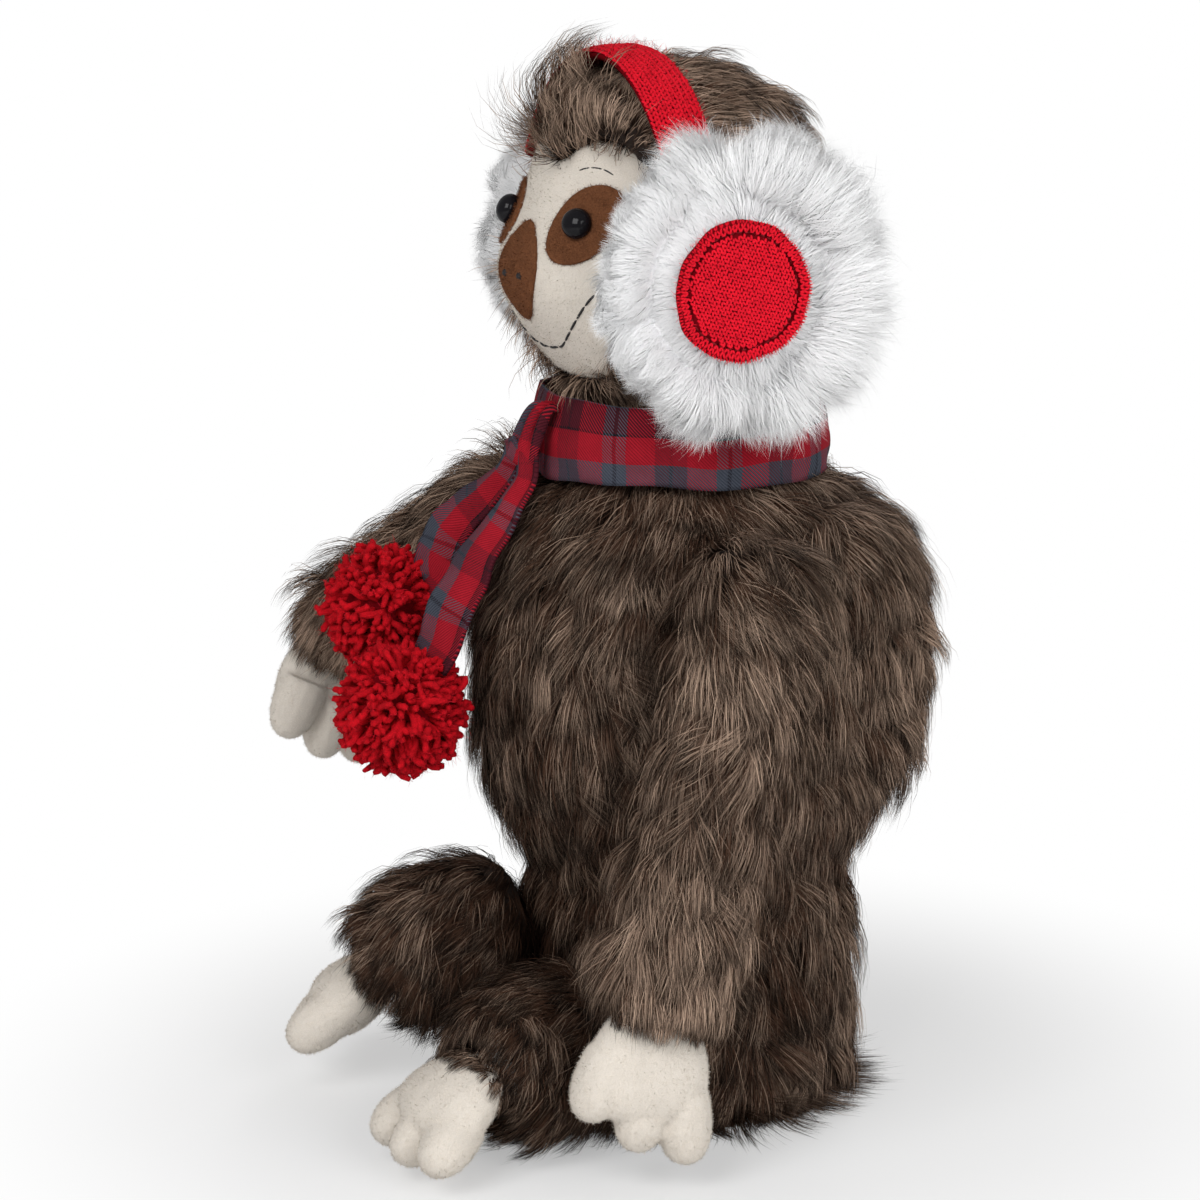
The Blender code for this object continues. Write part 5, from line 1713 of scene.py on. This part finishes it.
class SLOTH_OT_scarf(bpy.types.Operator):
    """Plaid scarf: the band round the neck, its crossing and two hanging tails"""
    bl_idname = "sloth.scarf"
    bl_label = "Scarf"

    def execute(self, context):
        low, high = box_of("scarf_wrap")
        radius = (high[0] - low[0]) / 2.0 - 1.2 * MM
        tall = high[2] - low[2]
        knot = middle_of("scarf_knot")
        begin = math.atan2(knot[1], knot[0])
        middles, acrosses, outs, wides = [], [], [], []
        for step in range(BAND_STEPS + 1):
            angle = begin + 2.0 * math.pi * step / BAND_STEPS
            out = np.array((math.cos(angle), math.sin(angle), 0.0))
            sway = 0.5 * MM * math.sin(5.0 * angle) + 0.4 * MM * math.sin(9.0 * angle + 1.0)
            level = np.array((0.0, 0.0, (low[2] + high[2]) / 2.0 + sway))
            middles.append(out * (radius + sway * 0.5) + level)
            acrosses.append(np.array((0.0, 0.0, 1.0)) - out * 0.10)
            outs.append(out)
            wides.append(tall + 1.5 * MM * math.sin(3.0 * angle + 0.5))

        def puff(along, share):
            crease = 0.9 * MM * math.sin(2 * math.pi * (along * 11 + share * 2)) * (0.5 - share)
            return 1.8 * MM * math.cos(math.pi * share) + crease * 0.5

        band = strip("scarf_band", np.array(middles), acrosses, outs, wides, "torso",
                     ("scarf_wrap",), thick=1.6 * MM, puff=puff, cells=16, cross=tall)
        self.crossing(knot)
        for label in ("front", "back"):
            self.tail(label, knot)
        return {'FINISHED'}

    def crossing(self, knot):
        """The cloth comes over the band's top edge, pleated narrow, and turns down."""
        path = np.array(CROSSING_PATH) * MM
        stations = np.linspace(0.0, 1.0, len(path))
        shares = np.linspace(0.0, 1.0, 25)
        bends = np.stack([np.interp(shares, stations, path[:, i]) for i in range(3)], 1)
        line = evened(knot + bends, 5)
        across, outs = across_line(line)
        wides = CROSSING_SPREAD * (0.72 + 0.55 * shares)

        def puff(along, share):
            pleat = 1.3 * MM * math.cos(5.0 * math.pi * share + 0.6)
            held = math.sin(math.pi * min(1.0, 0.15 + along))
            return pleat * held + 1.2 * MM * math.cos(math.pi * share)

        piece = strip("scarf_crossing", line, across, outs, wides, "torso", ("scarf_knot",),
                      thick=1.6 * MM, puff=puff, cells=22, cross=TAIL_SPREAD,
                      shift=CROSSING_SHIFT)
        float(step_sizes(line).sum())

    def tail(self, label, knot):
        """A hanging tail that follows its CAD solid from the crossing to its pompom."""
        solid = "scarf_tail_" + label
        corners, _ = cad_arrays(solid)
        ball = middle_of("pompom_" + label)
        top = corners[np.argsort(-corners[:, 2])[:8]].mean(0)
        span = top[2] - corners[:, 2].min()
        line, shares = [], np.linspace(0.0, 1.0, 41)
        for share in shares:
            level = top[2] - span * share
            near = corners[np.abs(corners[:, 2] - level) < span * 0.13]
            line.append(np.append(near[:, :2].mean(0), level) if len(near) else line[-1])
        line = evened(np.array(line), 6)
        line[0] = knot + np.array(TAIL_START) * MM
        line[-1] = line[-2] + unit(ball - line[-2]) * 4.0 * MM
        line = evened(line, 4)
        aside, outs = across_line(line)
        wides = []
        for share in shares:
            opened = 0.50 + 0.50 * float(smooth_step(share, 0.0, 0.85)) - 0.10 * share ** 8
            wides.append(TAIL_SPREAD * opened)

        def puff(along, share):
            waves = math.cos(2.0 * math.pi * (share * 1.2 + 0.1))
            fold = 1.3 * MM * waves * (1.0 - 0.7 * along)
            return fold + 0.6 * MM * math.sin(5.0 * along + 3.0 * share)

        piece = strip("scarf_end_" + label, line, aside, outs, wides, "scarf_tails", (solid,),
                      thick=1.5 * MM, puff=puff, cells=16, cross=TAIL_SPREAD,
                      shift=TAIL_SHIFTS[label])
        float(step_sizes(line).sum())


# Pompoms

YARN_ENDS = 560
YARN_RADIUS = 1.38 * MM
YARN_LAY, YARN_PLIES, PLY_DEPTH = 2.1 * MM, 2, 0.30
HEART_SHARE, YARN_START = 0.70, 0.55
POMPOM_FIBRES = 5200


def even_ways(count):
    """Directions spread evenly over a ball, on a golden spiral."""
    rank = np.arange(count) + 0.5
    polar, turn = np.arccos(1.0 - 2.0 * rank / count), np.pi * (1.0 + 5.0 ** 0.5) * rank
    return np.stack([np.cos(turn) * np.sin(polar), np.sin(turn) * np.sin(polar), np.cos(polar)], 1)


def yarn_end(centre, radius, way, rng):
    """One cut end: it curls as it comes out of the heart, and droops a little."""
    shares = np.linspace(0.0, 1.0, 9)
    side_way = unit(np.cross(way, rng.normal(size=3)))
    third = np.cross(way, side_way)
    lengths = (rng.uniform(0.90, 1.0), rng.uniform(0.97, 1.09))
    reach = radius * rng.choice(lengths, p=(0.7, 0.3))
    bend, coil = rng.normal(0.0, 3.4) * MM, rng.uniform(0.5, 1.5) * MM
    phase, turns = rng.uniform(0.0, 6.28), rng.uniform(3.0, 7.5)
    start = radius * YARN_START
    out = start + (reach - start) * np.sin(shares * 1.35) / math.sin(1.35)
    curl = phase + turns * shares
    line = centre + way * out[:, None]
    line = line + side_way * (bend * shares ** 2 + coil * shares * np.sin(curl))[:, None]
    line = line + third * (coil * shares * np.cos(curl))[:, None]
    return line + DOWN * (1.0 * MM * shares ** 2)[:, None]


class SLOTH_OT_pompoms(bpy.types.Operator):
    """Cut yarn pompoms on the scarf tails"""
    bl_idname = "sloth.pompoms"
    bl_label = "Pompoms"

    def execute(self, context):
        yarn = grained("pompom_yarn", cloth().yarn)
        for number, label in enumerate(("front", "back")):
            name, rng = "pompom_" + label, np.random.default_rng(SEED + 90 + number)
            low, high = box_of(name)
            centre, radius = (low + high) / 2.0, (high - low)[0] / 2.0
            ways = even_ways(YARN_ENDS)
            ways = unit(ways + rng.normal(0.0, 0.11, ways.shape))
            heart = bmesh.new()
            bmesh.ops.create_icosphere(heart, subdivisions=4, radius=float(radius * HEART_SHARE))
            for vert in heart.verts:
                wave = 0.05 * math.sin(vert.co.x / MM * 1.9) * math.cos(vert.co.z / MM * 1.6)
                vert.co *= 1.0 + wave
            bmesh.ops.transform(heart, matrix=Matrix.Translation(centre), verts=heart.verts)
            # The heart is painted dark as the shade deep inside the pompom
            show(bmesh_piece(name + "_heart", heart), shaded_knit(), "scarf_tails", "red_yarn",
                 (name,))
            paths = [yarn_end(centre, radius, way, rng) for way in ways]
            points, loops, totals = tube_mesh(paths, YARN_RADIUS, 9, YARN_PLIES, YARN_LAY,
                                              PLY_DEPTH)
            show(mesh_piece(name + "_yarn", kept_inside(points), loops, totals), yarn,
                 "scarf_tails", "red_yarn")
            chosen = rng.integers(0, YARN_ENDS, POMPOM_FIBRES)
            knots = rng.integers(5, 9, POMPOM_FIBRES)
            spots = np.array([paths[end][knot] for end, knot in zip(chosen, knots)])
            red_fuzz(name + "_fuzz", spots, ways[chosen], 3.2 * MM, 0.09 * MM, (0.2, 0.9), rng,
                     "scarf_tails", "red_yarn")
        return {'FINISHED'}


# Stage

# The photograph looks down a little from the sloth's left and front
VIEW_TURN, VIEW_RISE, VIEW_DISTANCE = 60.0, 13.0, 1.25
VIEW_MIDDLE = (0.0, 0.0, 0.18)
VIEW_OFFSET = (0.0268, 0.01005)
VIEW_LENS = 111.9
WORLD_SEEN, WORLD_LIGHT = 1.0, 0.30
FLOOR_FADE, FLOOR_PALE = (0.10, 0.27), 0.4
LAMPS = (
    ("key", (0.75, -1.25, 1.15), 0.9, 15.0), ("side", (1.5, 0.05, 0.7), 1.0, 11.5),
    ("back", (-0.9, 1.2, 1.2), 0.8, 7.0))


def seen_plainly(tree):
    """One for a ray that comes straight from the eye or through something clear."""
    path = node(tree, "ShaderNodeLightPath").outputs
    return maths(tree, 'MAXIMUM', path["Is Camera Ray"], path["Is Transmission Ray"])


def placed(scene, name, data, place, turn):
    obj = bpy.data.objects.new(name, data)
    obj.location = place
    obj.rotation_euler = turn.to_euler()
    scene.collection.objects.link(obj)
    return obj


class SLOTH_OT_stage(bpy.types.Operator):
    """Pale floor, soft studio lamps, white surround and the camera"""
    bl_idname = "sloth.stage"
    bl_label = "Stage"

    def execute(self, context):
        scene = context.scene
        scene.view_settings.view_transform = 'Standard'
        self.floor()
        self.surround(scene)
        for name, place, size, power in LAMPS:
            data = bpy.data.lights.new(name, 'AREA')
            data.size, data.energy = size, power
            turn = (Vector(VIEW_MIDDLE) - Vector(place)).to_track_quat('-Z', 'Y')
            placed(scene, name, data, place, turn)
        turn, rise = math.radians(VIEW_TURN), math.radians(VIEW_RISE)
        back = Vector((math.sin(turn) * math.cos(rise), -math.cos(turn) * math.cos(rise),
                       math.sin(rise)))
        facing = (-back).to_track_quat('-Z', 'Y')
        aim = Vector(VIEW_MIDDLE) + facing @ Vector((-VIEW_OFFSET[0], -VIEW_OFFSET[1], 0.0))
        data = bpy.data.cameras.new("camera")
        data.lens = VIEW_LENS
        scene.camera = placed(scene, "camera", data, aim + back * VIEW_DISTANCE, facing)
        return {'FINISHED'}

    def floor(self):
        """A pale floor that holds the toy's shadow and fades to white away from it."""
        build = bmesh.new()
        bmesh.ops.create_grid(build, x_segments=1, y_segments=1, size=6.0)
        floor = bmesh_piece("floor", build, smooth=False)
        made, tree, shader = new_material("pale_floor", 0.9)
        feed(tree, shader.inputs["Base Color"], (0.90, 0.90, 0.90))
        seen = seen_plainly(tree)
        spot = node(tree, "ShaderNodeTexCoord").outputs["Object"]
        far = node(tree, "ShaderNodeVectorMath", {0: spot}, operation='LENGTH').outputs["Value"]
        pale = maths(tree, 'MULTIPLY_ADD', eased(tree, far, *FLOOR_FADE), 1.0 - FLOOR_PALE,
                     FLOOR_PALE)
        white = node(tree, "ShaderNodeEmission", {"Color": (1.0, 1.0, 1.0), "Strength": 1.0})
        mixed = node(tree, "ShaderNodeMixShader", {0: maths(tree, 'MULTIPLY', seen, pale),
                                                   1: shader.outputs[0], 2: white.outputs[0]})
        feed(tree, tree.nodes["Material Output"].inputs["Surface"], mixed.outputs[0])
        show(floor, made, None)

    def surround(self, scene):
        """A surround that is seen as white and gives a plain level of light."""
        scene.world = bpy.data.worlds.new("studio")
        scene.world.use_nodes = True
        tree = scene.world.node_tree
        strength = maths(tree, 'MULTIPLY_ADD', seen_plainly(tree), WORLD_SEEN - WORLD_LIGHT,
                         WORLD_LIGHT)
        background = tree.nodes["Background"]
        feed(tree, background.inputs["Color"], (1.0, 1.0, 1.0))
        feed(tree, background.inputs["Strength"], strength)


class SLOTH_PT_panel(bpy.types.Panel):
    """Lists the steps that dress the sloth"""
    bl_label = "Plush sloth"
    bl_space_type = 'VIEW_3D'
    bl_region_type = 'UI'
    bl_category = "Plush sloth"

    def draw(self, context):
        for settings in (context.scene.sloth_fur, context.scene.sloth_cloth):
            for name in settings.__annotations__:
                self.layout.prop(settings, name)
        for made in OPERATORS:
            self.layout.operator(made.bl_idname)


OPERATORS = (
    SLOTH_OT_torso, SLOTH_OT_arms, SLOTH_OT_legs, SLOTH_OT_head, SLOTH_OT_filling, SLOTH_OT_face,
    SLOTH_OT_paws, SLOTH_OT_earmuffs, SLOTH_OT_headband, SLOTH_OT_scarf, SLOTH_OT_pompoms,
    SLOTH_OT_stage)
CLASSES = (SlothFur, SlothCloth, *OPERATORS, SLOTH_PT_panel)


def register():
    for made in CLASSES:
        bpy.utils.register_class(made)
    bpy.types.Scene.sloth_fur = PointerProperty(type=SlothFur)
    bpy.types.Scene.sloth_cloth = PointerProperty(type=SlothCloth)


def unregister():
    del bpy.types.Scene.sloth_fur
    del bpy.types.Scene.sloth_cloth
    for made in reversed(CLASSES):
        bpy.utils.unregister_class(made)


def main():
    register()
    for made in OPERATORS:
        area, name = made.bl_idname.split(".")
        getattr(getattr(bpy.ops, area), name)()


if __name__ == "__main__":
    main()
